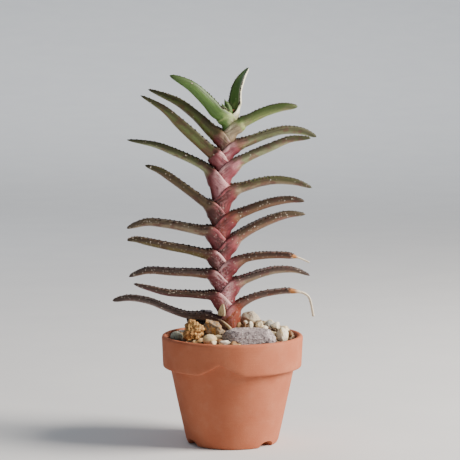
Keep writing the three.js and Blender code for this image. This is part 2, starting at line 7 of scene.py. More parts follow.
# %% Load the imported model
import math
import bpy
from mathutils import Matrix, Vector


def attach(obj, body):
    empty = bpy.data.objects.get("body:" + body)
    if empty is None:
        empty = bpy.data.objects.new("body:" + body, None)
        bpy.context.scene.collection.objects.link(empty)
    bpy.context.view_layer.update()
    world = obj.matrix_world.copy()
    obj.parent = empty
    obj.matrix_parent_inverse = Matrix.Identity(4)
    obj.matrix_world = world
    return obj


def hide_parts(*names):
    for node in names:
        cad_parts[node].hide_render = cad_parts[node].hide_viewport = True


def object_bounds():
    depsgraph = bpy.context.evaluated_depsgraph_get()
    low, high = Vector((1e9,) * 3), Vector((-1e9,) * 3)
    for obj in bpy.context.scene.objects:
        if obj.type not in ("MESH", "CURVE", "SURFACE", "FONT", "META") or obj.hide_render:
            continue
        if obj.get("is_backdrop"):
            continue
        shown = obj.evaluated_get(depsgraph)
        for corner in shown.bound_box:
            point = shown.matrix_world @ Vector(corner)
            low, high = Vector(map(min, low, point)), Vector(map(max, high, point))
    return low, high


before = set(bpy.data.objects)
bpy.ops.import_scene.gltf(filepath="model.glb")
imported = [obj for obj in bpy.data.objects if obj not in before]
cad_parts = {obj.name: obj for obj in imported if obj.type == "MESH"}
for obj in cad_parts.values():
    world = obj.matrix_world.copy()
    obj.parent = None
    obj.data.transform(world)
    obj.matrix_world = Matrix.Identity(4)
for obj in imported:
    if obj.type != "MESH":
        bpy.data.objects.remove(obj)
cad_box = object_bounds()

from types import SimpleNamespace

import bmesh
import bpy
import numpy as np
from mathutils import Vector, noise

MM = 0.001
DEG = math.pi / 180
print("nodes in the packed model:", len(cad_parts))

# %% [markdown]
# ## Camera
# The object was seen from a little above, from about a metre away, through a long lens. A long lens keeps
# the pot's rim narrow and the leaves nearly in profile. The camera is set from measured angles.

# %% Camera
camera = bpy.data.objects.new("camera", bpy.data.cameras.new("camera"))
bpy.context.scene.collection.objects.link(camera)
camera.location = (-0.0013, -1.009, 0.2144)
camera.rotation_euler = (84.67 * DEG, 0, 0)
camera.data.sensor_width = 36
camera.data.lens = 140.87
bpy.context.scene.camera = camera
print("camera lens in mm:", round(camera.data.lens, 1))

# %% [markdown]
# ## Small tools for numbers
# Several pieces need the same soft step, the same seeded random numbers and a smooth line through a few
# known values. Seeded numbers make the same scene in each run.

# %% Small tools for numbers
def ease(low, high, value):
    share = np.clip((np.asarray(value, float) - low) / (high - low), 0, 1)
    return share * share * (3 - 2 * share)


def mix(a, b, share):
    return a + (b - a) * share


def random_source(seed):
    state = seed

    def draw():
        nonlocal state
        state = state * 16807 % 2147483647
        return state / 2147483647

    return draw


def smooth_line(xs, ys, at):
    """A line through known values that never swings past them, x rising."""
    xs, ys = np.asarray(xs, float), np.asarray(ys, float)
    step = np.diff(xs)
    slope = np.diff(ys) / step
    bend = np.zeros(len(xs))
    bend[0], bend[-1] = slope[0], slope[-1]
    for i in range(1, len(xs) - 1):
        if slope[i - 1] * slope[i] > 0:
            bend[i] = 2 * slope[i - 1] * slope[i] / (slope[i - 1] + slope[i])
    i = np.clip(np.searchsorted(xs, at) - 1, 0, len(step) - 1)
    t = np.clip((at - xs[i]) / step[i], 0, 1)
    return (ys[i] * (1 + 2 * t) * (1 - t) ** 2 + ys[i + 1] * t * t * (3 - 2 * t)
            + bend[i] * step[i] * t * (1 - t) ** 2 - bend[i + 1] * step[i] * t * t * (1 - t))


print("soft step half way:", float(ease(0, 1, 0.5)))

# %% [markdown]
# ## Small tools for meshes
# A leaf, the pot and the soil are all rings of points joined to each other. One helper joins the rings,
# one makes the faces look outward, one turns points and faces into a Blender object, and the last lets
# that object ride on the model and stand for its node. Extra numbers on the points, such as how far along
# the leaf a point is, go in as attributes, which the materials read later.

# %% Small tools for meshes
def ring_faces(rings, around, closed_ends=True):
    faces = []
    for r in range(rings - 1):
        for c in range(around):
            n = (c + 1) % around
            faces.append((r * around + c, r * around + n, (r + 1) * around + n, (r + 1) * around + c))
    if closed_ends:
        for start, flip in ((0, True), ((rings - 1) * around, False)):
            for i in range(around // 2):
                corners = dict.fromkeys((i, i + 1, (around - i - 1) % around, (around - i) % around))
                quad = tuple(start + corner for corner in corners)
                faces.append(quad[::-1] if flip else quad)
    return faces


def facing_out(points, faces):
    """Turns all faces over if the body is inside out."""
    total = 0.0
    for face in faces:
        a = points[face[0]]
        for k in range(1, len(face) - 1):
            total += np.dot(a, np.cross(points[face[k]], points[face[k + 1]]))
    return faces if total > 0 else [face[::-1] for face in faces]


def piece(name, points, faces, materials=(), slots=None, values=None):
    mesh = bpy.data.meshes.new(name)
    mesh.from_pydata((np.asarray(points) * MM).tolist(), [], faces)
    for key, numbers in (values or {}).items():
        mesh.attributes.new(key, "FLOAT", "POINT").data.foreach_set("value", np.asarray(numbers, np.float32))
    for material in materials:
        mesh.materials.append(material)
    if slots is not None:
        mesh.polygons.foreach_set("material_index", np.asarray(slots, np.int32))
    mesh.shade_smooth()
    mesh.update()
    obj = bpy.data.objects.new(name, mesh)
    bpy.context.scene.collection.objects.link(obj)
    return obj


def stand_for(obj, slot, *nodes):
    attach(obj, "root")
    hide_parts(*nodes)


print("mesh tools ready")

# %% [markdown]
# ## Small tools for materials
# A material is a recipe of nodes. These helpers add a node, fill its inputs with numbers or with links,
# and hand back what it puts out, so that each recipe below reads from top to bottom.

# %% Small tools for materials
def colour(code):
    """A colour written as six hex digits, as shown on screen, turned into the linear one that nodes use."""
    parts = [int(code[i:i + 2], 16) / 255 for i in (0, 2, 4)]
    return [p / 12.92 if p < 0.04045 else ((p + 0.055) / 1.055) ** 2.4 for p in parts] + [1.0]


def add(tree, kind, inputs=None, **settings):
    node = tree.nodes.new(kind)
    for key, value in settings.items():
        setattr(node, key, value)
    for key, value in (inputs or {}).items():
        if isinstance(value, bpy.types.NodeSocket):
            tree.links.new(value, node.inputs[key])
        else:
            node.inputs[key].default_value = value
    return node


def maths(tree, operation, a, b=0.0):
    return add(tree, "ShaderNodeMath", {0: a, 1: b}, operation=operation).outputs[0]


def product(tree, value, *factors):
    for factor in factors:
        value = maths(tree, "MULTIPLY", value, factor)
    return value


def blend(tree, share, a, b):
    return add(tree, "ShaderNodeMix", {0: share, 6: a, 7: b}, data_type="RGBA").outputs[2]


def span(tree, value, low, high, to_low=0.0, to_high=1.0):
    return add(tree, "ShaderNodeMapRange", {0: value, 1: low, 2: high, 3: to_low, 4: to_high},
               interpolation_type="SMOOTHSTEP").outputs[0]


def attribute(tree, name):
    return add(tree, "ShaderNodeAttribute", attribute_name=name).outputs["Fac"]


def clouds(tree, place, scale=1.0, detail=3.0, roughness=0.5):
    """Soft noise, about 0.5 in the middle."""
    inputs = {"Vector": place, "Scale": scale, "Detail": detail, "Roughness": roughness}
    return add(tree, "ShaderNodeTexNoise", inputs).outputs["Fac"]


def cells(tree, place, scale):
    """Cells of a Voronoi texture: each place's distance from its cell's middle, and the cell's number."""
    made = add(tree, "ShaderNodeTexVoronoi", {"Vector": place, "Scale": scale}).outputs
    return made["Distance"], add(tree, "ShaderNodeSeparateColor", {0: made["Color"]}).outputs[0]


def group(name, takes, gives):
    """A new node group. It takes names with a kind and a starting value, and gives names with a kind."""
    tree = bpy.data.node_groups.new(name, "ShaderNodeTree")
    kinds = {"colour": "NodeSocketColor", "number": "NodeSocketFloat", "vector": "NodeSocketVector"}
    for label, kind, value in takes:
        socket = tree.interface.new_socket(label, in_out="INPUT", socket_type=kinds[kind])
        socket.default_value = value
    for label, kind in gives:
        tree.interface.new_socket(label, in_out="OUTPUT", socket_type=kinds[kind])
    way_in = tree.nodes.new("NodeGroupInput").outputs
    way_out = tree.nodes.new("NodeGroupOutput").inputs
    return tree, way_in, way_out


def use(tree, made, inputs=None):
    node = tree.nodes.new("ShaderNodeGroup")
    node.node_tree = made
    for key, value in (inputs or {}).items():
        if isinstance(value, bpy.types.NodeSocket):
            tree.links.new(value, node.inputs[key])
        else:
            node.inputs[key].default_value = value
    return node.outputs


def material(name, roughness, specular):
    made = bpy.data.materials.new(name)
    made.use_nodes = True
    shader = made.node_tree.nodes["Principled BSDF"]
    shader.inputs["Roughness"].default_value = roughness
    shader.inputs["Specular IOR Level"].default_value = specular
    return made, made.node_tree, shader.inputs


def relief(tree, inputs, height, depth_mm):
    """Small relief that is too fine for the mesh: a height from 0 to 1 and its depth in millimetres."""
    bump = add(tree, "ShaderNodeBump", {"Height": height, "Distance": depth_mm * MM, "Strength": 1.0})
    tree.links.new(bump.outputs["Normal"], inputs["Normal"])


print("material tools ready")

# %% [markdown]
# ## Effects that several materials share
# Clay, stone, soil and leaf all need a place measured in millimetres, soft patches, fine grain and small
# specks, and the stem and its dry flake need upright strands. Each is made once as a node group, and each
# material sets its own sizes and strengths.

# %% Place in millimetres
place_mm, _, out = group("Place in millimetres", [], [("Place", "vector")])
where = add(place_mm, "ShaderNodeTexCoord").outputs["Object"]
scaled = add(place_mm, "ShaderNodeVectorMath", {0: where, "Scale": 1000.0}, operation="SCALE").outputs[0]
place_mm.links.new(scaled, out["Place"])
print("group:", place_mm.name)

# %% Soft patches
patches, take, out = group(
    "Soft patches",
    [("Place", "vector", (0, 0, 0)), ("Size", "number", 5.0),
     ("Low", "number", 0.4), ("High", "number", 0.6)],
    [("Mask", "number")])
cloud = clouds(patches, take["Place"], maths(patches, "DIVIDE", 1.0, take["Size"]), 4.0)
patches.links.new(span(patches, cloud, take["Low"], take["High"]), out["Mask"])
print("group:", patches.name)

# %% Fine grain
grain, take, out = group(
    "Fine grain",
    [("Place", "vector", (0, 0, 0)), ("Size", "number", 0.6), ("Pits", "number", 0.3)],
    [("Height", "number"), ("Pit", "number")])
scale = maths(grain, "DIVIDE", 1.0, take["Size"])
sand = clouds(grain, take["Place"], scale, 5.0, 0.6)
away, number = cells(grain, take["Place"], product(grain, scale, 0.35))
chosen = maths(grain, "GREATER_THAN", number, maths(grain, "SUBTRACT", 1.0, take["Pits"]))
pit = product(grain, span(grain, away, 0.14, 0.05), chosen)
grain.links.new(maths(grain, "SUBTRACT", sand, product(grain, pit, 0.6)), out["Height"])
grain.links.new(pit, out["Pit"])
print("group:", grain.name)

# %% Small specks
specks, take, out = group(
    "Small specks",
    [("Place", "vector", (0, 0, 0)), ("Spacing", "number", 1.5),
     ("Width", "number", 0.3), ("Share", "number", 0.4)],
    [("Mask", "number")])
away, number = cells(specks, take["Place"], maths(specks, "DIVIDE", 1.0, take["Spacing"]))
dot = span(specks, away, take["Width"], product(specks, take["Width"], 0.55))
chosen = maths(specks, "LESS_THAN", number, take["Share"])
specks.links.new(product(specks, dot, chosen), out["Mask"])
print("group:", specks.name)

# %% Upright strands
strands, take, out = group(
    "Upright strands",
    [("Place", "vector", (0, 0, 0)), ("Stretch", "vector", (2.2, 2.2, 0.25))],
    [("Height", "number"), ("Mask", "number")])
inputs = {0: take["Place"], 1: take["Stretch"]}
stretched = add(strands, "ShaderNodeVectorMath", inputs, operation="MULTIPLY").outputs[0]
strand = clouds(strands, stretched, 1.0, 4.0)
strands.links.new(strand, out["Height"])
strands.links.new(span(strands, strand, 0.35, 0.65), out["Mask"])
print("group:", strands.name)

# %% A matt skin with two cloudy colours
def cloudy_skin(name, finish, size, low, high, first, second):
    """The finish is a roughness and a specular level. Size is in mm, low and high bound the soft change."""
    made, tree, shader = material(name, *finish)
    spot = use(tree, place_mm)["Place"]
    cloudy = use(tree, patches, {"Place": spot, "Size": size, "Low": low, "High": high})["Mask"]
    tree.links.new(blend(tree, cloudy, colour(first), colour(second)), shader["Base Color"])
    return made


print("groups so far:", len(bpy.data.node_groups))

# %% [markdown]
# ## Terracotta
# The pot is unglazed fired clay: warm orange-brown, quite matt, with fine sand in it, a few tiny pits,
# faint turning lines that run round it, and a breath of pale dust. Pale dust lies in soft patches,
# so it is a mask and not a second colour all over.

# %% Terracotta
terracotta, tree, shader = material("terracotta", roughness=0.88, specular=0.25)
spot = use(tree, place_mm)["Place"]
warm = use(tree, patches, {"Place": spot, "Size": 14.0, "Low": 0.3, "High": 0.7})["Mask"]
body = blend(tree, warm, colour("ae6447"), colour("b66d4f"))
dust = use(tree, patches, {"Place": spot, "Size": 6.0, "Low": 0.45, "High": 0.8})["Mask"]
body = blend(tree, product(tree, dust, 0.1), body, colour("d3a083"))
sand = use(tree, grain, {"Place": spot, "Size": 0.55, "Pits": 0.16})
# The pits of the fine grain are also painted darker: painted shade inside them.
body = blend(tree, product(tree, sand["Pit"], 0.35), body, colour("7d432c"))
fine = use(tree, patches, {"Place": spot, "Size": 0.8, "Low": 0.3, "High": 0.7})["Mask"]
body = blend(tree, product(tree, fine, 0.12), body, colour("8f5038"))
height = product(tree, add(tree, "ShaderNodeSeparateXYZ", {0: spot}).outputs["Z"], 0.9)
turning = add(tree, "ShaderNodeTexNoise", {"W": height, "Scale": 1.0, "Detail": 3.0}, noise_dimensions="1D")
turning = product(tree, turning.outputs["Fac"], 0.7)
tree.links.new(body, shader["Base Color"])
relief(tree, shader, maths(tree, "ADD", sand["Height"], turning), 0.09)
print("material:", terracotta.name)

# %% [markdown]
# ## The pot
# A flower pot like this is pressed in a mould or turned: a tapering body, a deep upright band at the top
# whose lower edge is notched three times with a wide point, and three small arches at the foot that let
# water out. It is made as rings of points, one outline for each angle, because the band's lower edge
# rises at the notches. The arches and drain holes are cut last with Booleans.

# %% Sizes of the pot
POT_HEIGHT, RIM_RADIUS, LIP_WALL = 61, 40, 3.4
FOOT_RADIUS, BODY_TOP_RADIUS = 25.8, 35.1
BAND_FOOT, BAND_FOOT_RADIUS, BAND_TOP = 43, 39.1, 57
WALL_INSIDE, STEP_FOOT, STEP_TOP, FLOOR = 3.8, 51.5, 54.5, 5.5
CHEVRON_DEPTH, CHEVRON_HALF_ANGLE, CHEVRONS_AT = 6.5, 19.5, (-10, 110, 230)
ARCHES_AT, ARCH_HALF_WIDTH, ARCH_HEIGHT, ARCH_STEPS = (48, -61, 173.5), 7.4, 3.9, 16
DRAIN_RADIUS, DRAIN_AT, DRAIN_STEPS = 2.4, 16, 28


def body_radius(z):
    return mix(FOOT_RADIUS, BODY_TOP_RADIUS, (z / BAND_FOOT) ** 0.95)


def chevron(angle):
    away = min(abs((angle - at + 540) % 360 - 180) for at in CHEVRONS_AT)
    return CHEVRON_DEPTH * max(0, 1 - away / CHEVRON_HALF_ANGLE) ** 1.1


print("notch in the band at the front:", round(chevron(-10), 1), "mm")

# %% Outline of the pot at one angle
def pot_outline(angle):
    foot = BAND_FOOT + chevron(angle)
    rim = RIM_RADIUS
    rows = [(FOOT_RADIUS - 0.8, 0), (FOOT_RADIUS - 0.25, 0.2), (FOOT_RADIUS, 0.8)]
    rows += [(body_radius(z), z) for z in np.linspace(2, foot - 0.5, 26)]
    rows += [(body_radius(foot) + 0.05, foot - 0.12), (body_radius(foot) + 0.35, foot)]
    rows += [(BAND_FOOT_RADIUS - 1.1, foot), (BAND_FOOT_RADIUS - 0.5, foot + 0.12)]
    rows += [(BAND_FOOT_RADIUS - 0.12, foot + 0.45), (BAND_FOOT_RADIUS + 0.08, foot + 0.95)]
    rows += [(mix(BAND_FOOT_RADIUS + 0.1, rim - 0.2, s), mix(foot + 1, BAND_TOP, s))
             for s in np.linspace(0.1, 1, 8)]
    rows += [(rim, 59.2), (rim - 0.1, 59.9), (rim - 0.4, 60.5), (rim - 0.95, 60.9), (rim - 1.6, POT_HEIGHT)]
    rows += [(rim - 2.25, 60.88), (rim - 2.8, 60.5), (rim - 3.2, 59.9), (rim - LIP_WALL, 59.1)]
    rows += [(rim - LIP_WALL - 0.2, BAND_TOP), (rim - LIP_WALL - 0.4, STEP_TOP)]
    rows += [(body_radius(STEP_FOOT) - WALL_INSIDE, STEP_FOOT), (body_radius(30) - WALL_INSIDE, 30)]
    rows += [(body_radius(FLOOR) - WALL_INSIDE, FLOOR)]
    return rows


print("points in one outline of the pot:", len(pot_outline(0)))

# %% Cutters for the arches and the drain holes
def turned_about(points, degrees):
    c, s = math.cos(degrees * DEG), math.sin(degrees * DEG)
    x, y, z = np.asarray(points, float).T
    return np.stack([x * c - y * s, x * s + y * c, z], -1)


def cutter(points, around, at):
    """A body between two rings of points, turned about the middle of the pot."""
    faces = [(i, (i + 1) % around, around + (i + 1) % around, around + i) for i in range(around)]
    faces += [tuple(range(around))[::-1], tuple(range(around, 2 * around))]
    points = turned_about(points, at)
    return piece("cutter", points, facing_out(points, faces))


def arch_cutter(at):
    turns = [(math.pi * (1 - i / ARCH_STEPS), math.pi * i / ARCH_STEPS) for i in range(ARCH_STEPS + 1)]
    arch = [(ARCH_HALF_WIDTH * math.cos(back), ARCH_HEIGHT * math.sin(turn) ** 0.8) for back, turn in turns]
    shape = [(-ARCH_HALF_WIDTH, -2)] + arch + [(ARCH_HALF_WIDTH, -2)]
    points = []
    for y, share in ((-40, 1), (-DRAIN_AT, 0.55)):
        points += [(x * share, y, z * (0.4 + 0.6 * share) if z > 0 else z) for x, z in shape]
    return cutter(points, len(shape), at)


def drain_cutter(at):
    ring = [(DRAIN_RADIUS * math.cos(a), DRAIN_RADIUS * math.sin(a) - DRAIN_AT - 0.6)
            for a in np.linspace(0, 2 * math.pi, DRAIN_STEPS, endpoint=False)]
    points = [(x, y, -6) for x, y in ring] + [(x, y, 14) for x, y in ring]
    return cutter(points, DRAIN_STEPS, at)


print("arches at the foot:", len(ARCHES_AT))

# %% Make the pot
POT_STEPS = 240
outlines = []
for step in range(POT_STEPS):
    angle = 360 * step / POT_STEPS
    turn = angle * DEG
    for radius, z in pot_outline(angle):
        wander = 0.1 * noise.noise(Vector((math.cos(turn) * 1.7, math.sin(turn) * 1.7, z * 0.06)))
        radius = radius + (wander if 1 < z < 60.5 else 0)
        outlines.append((radius * math.sin(turn), -radius * math.cos(turn), z))
around = len(pot_outline(0))
pot_faces = []
for step in range(POT_STEPS):
    here, there = step * around, (step + 1) % POT_STEPS * around
    pot_faces += [(here + r, here + r + 1, there + r + 1, there + r) for r in range(around - 1)]
pot_faces.append(tuple(step * around for step in range(POT_STEPS)))
pot_faces.append(tuple(step * around + around - 1 for step in range(POT_STEPS))[::-1])
pot = piece("terracotta_pot", outlines, facing_out(np.asarray(outlines), pot_faces), [terracotta])
cutters = [make(at) for at in ARCHES_AT for make in (arch_cutter, drain_cutter)]
for number, tool in enumerate(cutters):
    cut = pot.modifiers.new(f"cut_{number}", "BOOLEAN")
    cut.object, cut.operation, cut.solver = tool, "DIFFERENCE", "EXACT"
bpy.context.view_layer.update()
cut_mesh = bpy.data.meshes.new_from_object(pot.evaluated_get(bpy.context.evaluated_depsgraph_get()))
pot.modifiers.clear()
pot.data = cut_mesh
for tool in cutters:
    bpy.data.objects.remove(tool)
cut_mesh.shade_smooth()
cut_mesh.set_sharp_from_angle(angle=38 * DEG)
stand_for(pot, "terracotta", "pot")
print("pot faces:", len(pot.data.polygons))

# %% [markdown]
# ## Soil
# Dark potting soil fills the pot and shows between the stones as a crumbly brown surface. It is a turned
# body whose top rises toward the stem and is roughened by noise, so that it doesn't look poured.

# %% Soil material
soil_skin, tree, shader = material("potting_soil", roughness=0.95, specular=0.2)
spot = use(tree, place_mm)["Place"]
lumps = use(tree, patches, {"Place": spot, "Size": 1.6, "Low": 0.35, "High": 0.65})["Mask"]
tone = blend(tree, lumps, colour("2a1c15"), colour("553d2d"))
fibre = use(tree, specks, {"Place": spot, "Spacing": 1.1, "Width": 0.3, "Share": 0.2})["Mask"]
tone = blend(tree, product(tree, fibre, 0.6), tone, colour("8a6a4c"))
tree.links.new(tone, shader["Base Color"])
relief(tree, shader, use(tree, grain, {"Place": spot, "Size": 0.7, "Pits": 0.5})["Height"], 0.35)
print("material:", soil_skin.name)

# %% Make the soil
SOIL_TOP, GAP, GRIT_LAYER = 55.2, 0.4, 2.2
MOUND, MOUND_REACH = 5, 36
HEAP, HEAP_AT, HEAP_REACH = 4.8, 118, 38
SOIL_REACH = RIM_RADIUS - LIP_WALL - 0.5 - GAP
CRUMB_LAYER, CRUMB_HEIGHT = 1.7, 0.8
# How far the middle of the stem stands from the middle of the pot: height and shift to the right.
LEAN = np.array([
    (45, 0), (66, -0.7), (80, -3.4), (97, -5.5), (110, -6.1), (125, -6.5), (137, -6.5),
    (148, -6), (160, -4.8), (171, -2.9), (177, -1.5), (183, -0.3), (192, 0.4)])


def lean_at(z):
    return np.interp(z, LEAN[:, 0], LEAN[:, 1])


def mound(r):
    return MOUND * (1 - (r / MOUND_REACH) ** 2)


def heap(angle, r):
    """Extra height of the grit to the right of the stem and behind it, by an angle from the front."""
    return HEAP * max(0, math.cos(angle - HEAP_AT * DEG)) ** 0.5 * (1 - (r / HEAP_REACH) ** 4)


SOIL_STEPS = 150
inside = [(body_radius(z) - WALL_INSIDE - GAP, z + GAP * 0.6) for z in (FLOOR, 20, 36, STEP_FOOT)]
inside += [(RIM_RADIUS - LIP_WALL - 0.4 - GAP, STEP_TOP + 0.3)]
reaches = np.concatenate([[SOIL_REACH], np.linspace(35, 1.2, 52)])
soil_points = []
for step in range(SOIL_STEPS):
    turn = 2 * math.pi * step / SOIL_STEPS
    sin, cos = math.sin(turn), math.cos(turn)
    soil_points += [(r * sin, -r * cos, z) for r, z in inside]
    for r in reaches:
        x, y = r * sin, -r * cos
        crumb = CRUMB_HEIGHT * noise.fractal(Vector((x * 0.45, y * 0.45, 3.0)), 0.8, 2.2, 4)
        clear_of_stem = min(1, r / 9)
        height = SOIL_TOP + CRUMB_LAYER + mound(max(r, 7)) + (heap(turn, r) + crumb) * clear_of_stem
        soil_points.append((x + lean_at(60) * max(0, 1 - r / 20), y, height))
rows = len(inside) + len(reaches)
soil_faces = []
for step in range(SOIL_STEPS):
    here, there = step * rows, (step + 1) % SOIL_STEPS * rows
    soil_faces += [(here + r, here + r + 1, there + r + 1, there + r) for r in range(rows - 1)]
soil_faces.append(tuple(step * rows for step in range(SOIL_STEPS)))
soil_faces.append(tuple(step * rows + rows - 1 for step in range(SOIL_STEPS))[::-1])
soil = piece("potting_soil", soil_points, facing_out(np.asarray(soil_points), soil_faces), [soil_skin])
stand_for(soil, "soil", "soil")
print("soil faces:", len(soil.data.polygons))

# %% [markdown]
# ## Stones
# Each of the nine bigger stones is its own kind: a speckled lavender-grey block, rough golden and
# grey-orange lumps, a dark charcoal one, and smooth cream, beige, green-grey and white ones. The charcoal
# stone's dark colour is partly painted shade: it lies in the shade under the lowest left leaf. All start
# as a ball whose corners are knocked off along seeded planes, as in the imported model. Three of them are
# cut by a few planes more that are listed. Then noise makes them rough or leaves them water-worn.
# A stone's material is one recipe with its own colours, made by a function.

# %% Stone material
def stone_material(name, main, second, speck, patch=4.0, amount=0.5, share=0.35, spacing=0.9, rough=0.8,
                   depth=0.12):
    """Patches of the second colour, patch mm wide and more of them with amount, and specks by a share."""
    made, tree, shader = material(name, roughness=rough, specular=0.35)
    spot = use(tree, place_mm)["Place"]
    low, high = 0.62 - 0.3 * amount, 0.72 - 0.2 * amount
    cover = use(tree, patches, {"Place": spot, "Size": patch, "Low": low, "High": high})["Mask"]
    tone = blend(tree, cover, colour(main), colour(second))
    cloudy = use(tree, patches, {"Place": spot, "Size": 0.9, "Low": 0.3, "High": 0.7})["Mask"]
    tone = blend(tree, product(tree, cloudy, 0.3), tone, colour(second))
    dots = use(tree, specks, {"Place": spot, "Spacing": spacing, "Width": 0.42, "Share": share})["Mask"]
    tone = blend(tree, product(tree, dots, 0.75), tone, colour(speck))
    sand = use(tree, grain, {"Place": spot, "Size": 0.5, "Pits": 0.3})
    tree.links.new(tone, shader["Base Color"])
    relief(tree, shader, sand["Height"], depth)
    return made


def ball(detail):
    made = bmesh.new()
    bmesh.ops.create_icosphere(made, subdivisions=detail, radius=1)
    points = np.array([v.co[:] for v in made.verts])
    faces = [tuple(v.index for v in f.verts) for f in made.faces]
    made.free()
    return points, faces


PEBBLE_DETAIL, STONE_DETAIL, FINEST_DETAIL = 3, 5, 6
BALLS = {detail: ball(detail) for detail in (PEBBLE_DETAIL, STONE_DETAIL, FINEST_DETAIL)}
print("points in the finest ball:", len(BALLS[FINEST_DETAIL][0]))

# %% Shape of one stone
def rock(centre, half, turn, angular, detail, random, rough, fineness, planes=()):
    """A ball cut by nine seeded planes and any others, made rough and stretched to its half sizes."""
    points, faces = BALLS[detail]
    points = points.copy()
    cuts = []
    for _ in range(9):
        up = 2 * random() - 1
        side = math.sqrt(1 - up * up)
        angle = 2 * math.pi * random()
        reach = mix(1.02, 0.66 + 0.2 * random(), angular)
        cuts.append((side * math.cos(angle), side * math.sin(angle), up, reach))
    for nx, ny, nz, reach in cuts + list(planes):
        normal = np.array((nx, ny, nz)) / math.sqrt(nx * nx + ny * ny + nz * nz)
        over = np.maximum(points @ normal - reach, 0)
        points -= over[:, None] * normal
    shift = Vector(centre)
    swell = [noise.fractal(Vector(p) * fineness + shift, 0.7, 2.1, 5) for p in points]
    points *= 1 + rough * np.array(swell)[:, None]
    points = points * np.asarray(half, float)
    return turned_about(points, turn) + np.asarray(centre, float), faces


print("stone tool ready")

# %% Make the bigger stones
STONES = [
    # stone, centre, half sizes, turn, how angular, how rough, fineness of the roughness
    ("stone_lavender", (9.5, -25, 62.9), (15.4, 7.6, 7), 4, 0.3, 0.05, 4.2),
    ("stone_golden", (-21.5, -17.5, 65.2), (5.6, 4.8, 5.8), 20, 1, 0.42, 1.3),
    ("stone_grey_orange", (-11.4, -13.6, 66), (6.6, 5.1, 5.7), -15, 1, 0.2, 1.7),
    ("stone_charcoal", (-17.5, 13.2, 68.3), (9.8, 6.6, 7.2), 12, 1, 0.16, 2.2),
    ("stone_cream", (-12.3, -28.6, 62.2), (4.1, 3.9, 3.2), 10, 0.1, 0.08, 1.0),
    ("stone_green_grey", (-31.2, -11, 61.2), (3.4, 3.8, 3.1), 0, 0.2, 0.12, 1.6),
    ("stone_beige", (10.6, 7.2, 68.6), (5.9, 5.2, 4.6), 30, 1, 0.12, 1.5),
    ("stone_white_long", (27.8, -17.4, 62.6), (3.3, 4.2, 5.1), -20, 0.7, 0.1, 1.3),
    ("stone_white_round", (21.2, -1, 65.6), (3.2, 3.4, 3.4), 0, 0.1, 0.1, 1.3),
]
STONE_FINISH = {
    "stone_lavender": dict(main="aca0a0", second="6f6568", speck="e2dcd8", patch=1.3, amount=0.45, share=0.4,
                           depth=0.35),
    "stone_golden": dict(main="8a5c30", second="cfa768", speck="5a3218", patch=1.4, depth=0.35),
    "stone_grey_orange": dict(main="7d7468", second="c09258", speck="4a3f33", patch=3.0, depth=0.3),
    # The charcoal stone's dark colours are partly painted shade, for the shade under the lowest left leaf.
    "stone_charcoal": dict(main="38353b", second="5a5864", speck="7a767c", patch=3.0, share=0.25, depth=0.3),
    "stone_cream": dict(main="dccba6", second="c9ae7c", speck="a88b5c", share=0.12, rough=0.6, depth=0.06),
    "stone_green_grey": dict(main="8f9486", second="b3b3a4", speck="5f6358", share=0.3, depth=0.15),
    "stone_beige": dict(main="cdbfa6", second="e0d6c2", speck="7c6c58", share=0.45, spacing=0.8, depth=0.2),
    "stone_white_long": dict(main="e0d9c4", second="cbb68a", speck="a3916c", amount=0.3, share=0.1,
                             depth=0.08),
    "stone_white_round": dict(main="cfccc2", second="a9aaa2", speck="807e76", share=0.25, rough=0.6,
                              depth=0.08),
}
# Planes given one by one: a direction, and how far from the middle the plane cuts a ball of radius 1.
BLOCK = [(0.06, -0.12, 1, 0.63), (0.12, -1, 0.12, 0.76), (-1, -0.3, 0.05, 0.86), (1, -0.2, 0.35, 0.8),
         (0, 0, -1, 0.6)]
SLOPE = [(-0.5, -0.1, 1, 0.42), (0.25, 0, 1, 0.6)]
SLAB = [(0.3, -0.2, 1, 0.62), (-0.2, -1, 0.3, 0.6)]
PLANES = {"stone_lavender": BLOCK, "stone_charcoal": SLOPE, "stone_grey_orange": SLAB}
for index, (name, centre, half, turn, angular, rough, fineness) in enumerate(STONES):
    detail = FINEST_DETAIL if name == "stone_lavender" else STONE_DETAIL
    random, planes = random_source(101 + 17 * index), PLANES.get(name, ())
    points, faces = rock(centre, half, turn, angular, detail, random, rough, fineness, planes)
    skin = stone_material(name + "_skin", **STONE_FINISH[name])
    stand_for(piece(name + "_piece", points, faces, [skin]), name, name)
print("bigger stones:", len(STONES))

# %% [markdown]
# ## Gravel
# Between the stones lies a crowd of small river pebbles: cream, sand, tan, rusty, olive and white. The
# imported model has a few dozen of them at seeded places and a few chips placed one by one. Here the same
# places get real pebbles, and some hundred smaller ones fill in between, so that little soil shows. Each
# pebble carries one number, and the material picks a colour by it. Nearly all of the smallest are dark
# brown, as painted shade in the gaps between the bigger pebbles.

# %% Gravel material
gravel_skin, tree, shader = material("river_pebbles", roughness=0.62, specular=0.4)
spot = use(tree, place_mm)["Place"]
kinds = add(tree, "ShaderNodeValToRGB", {0: attribute(tree, "kind")})
ramp = kinds.color_ramp
ramp.interpolation = "CONSTANT"
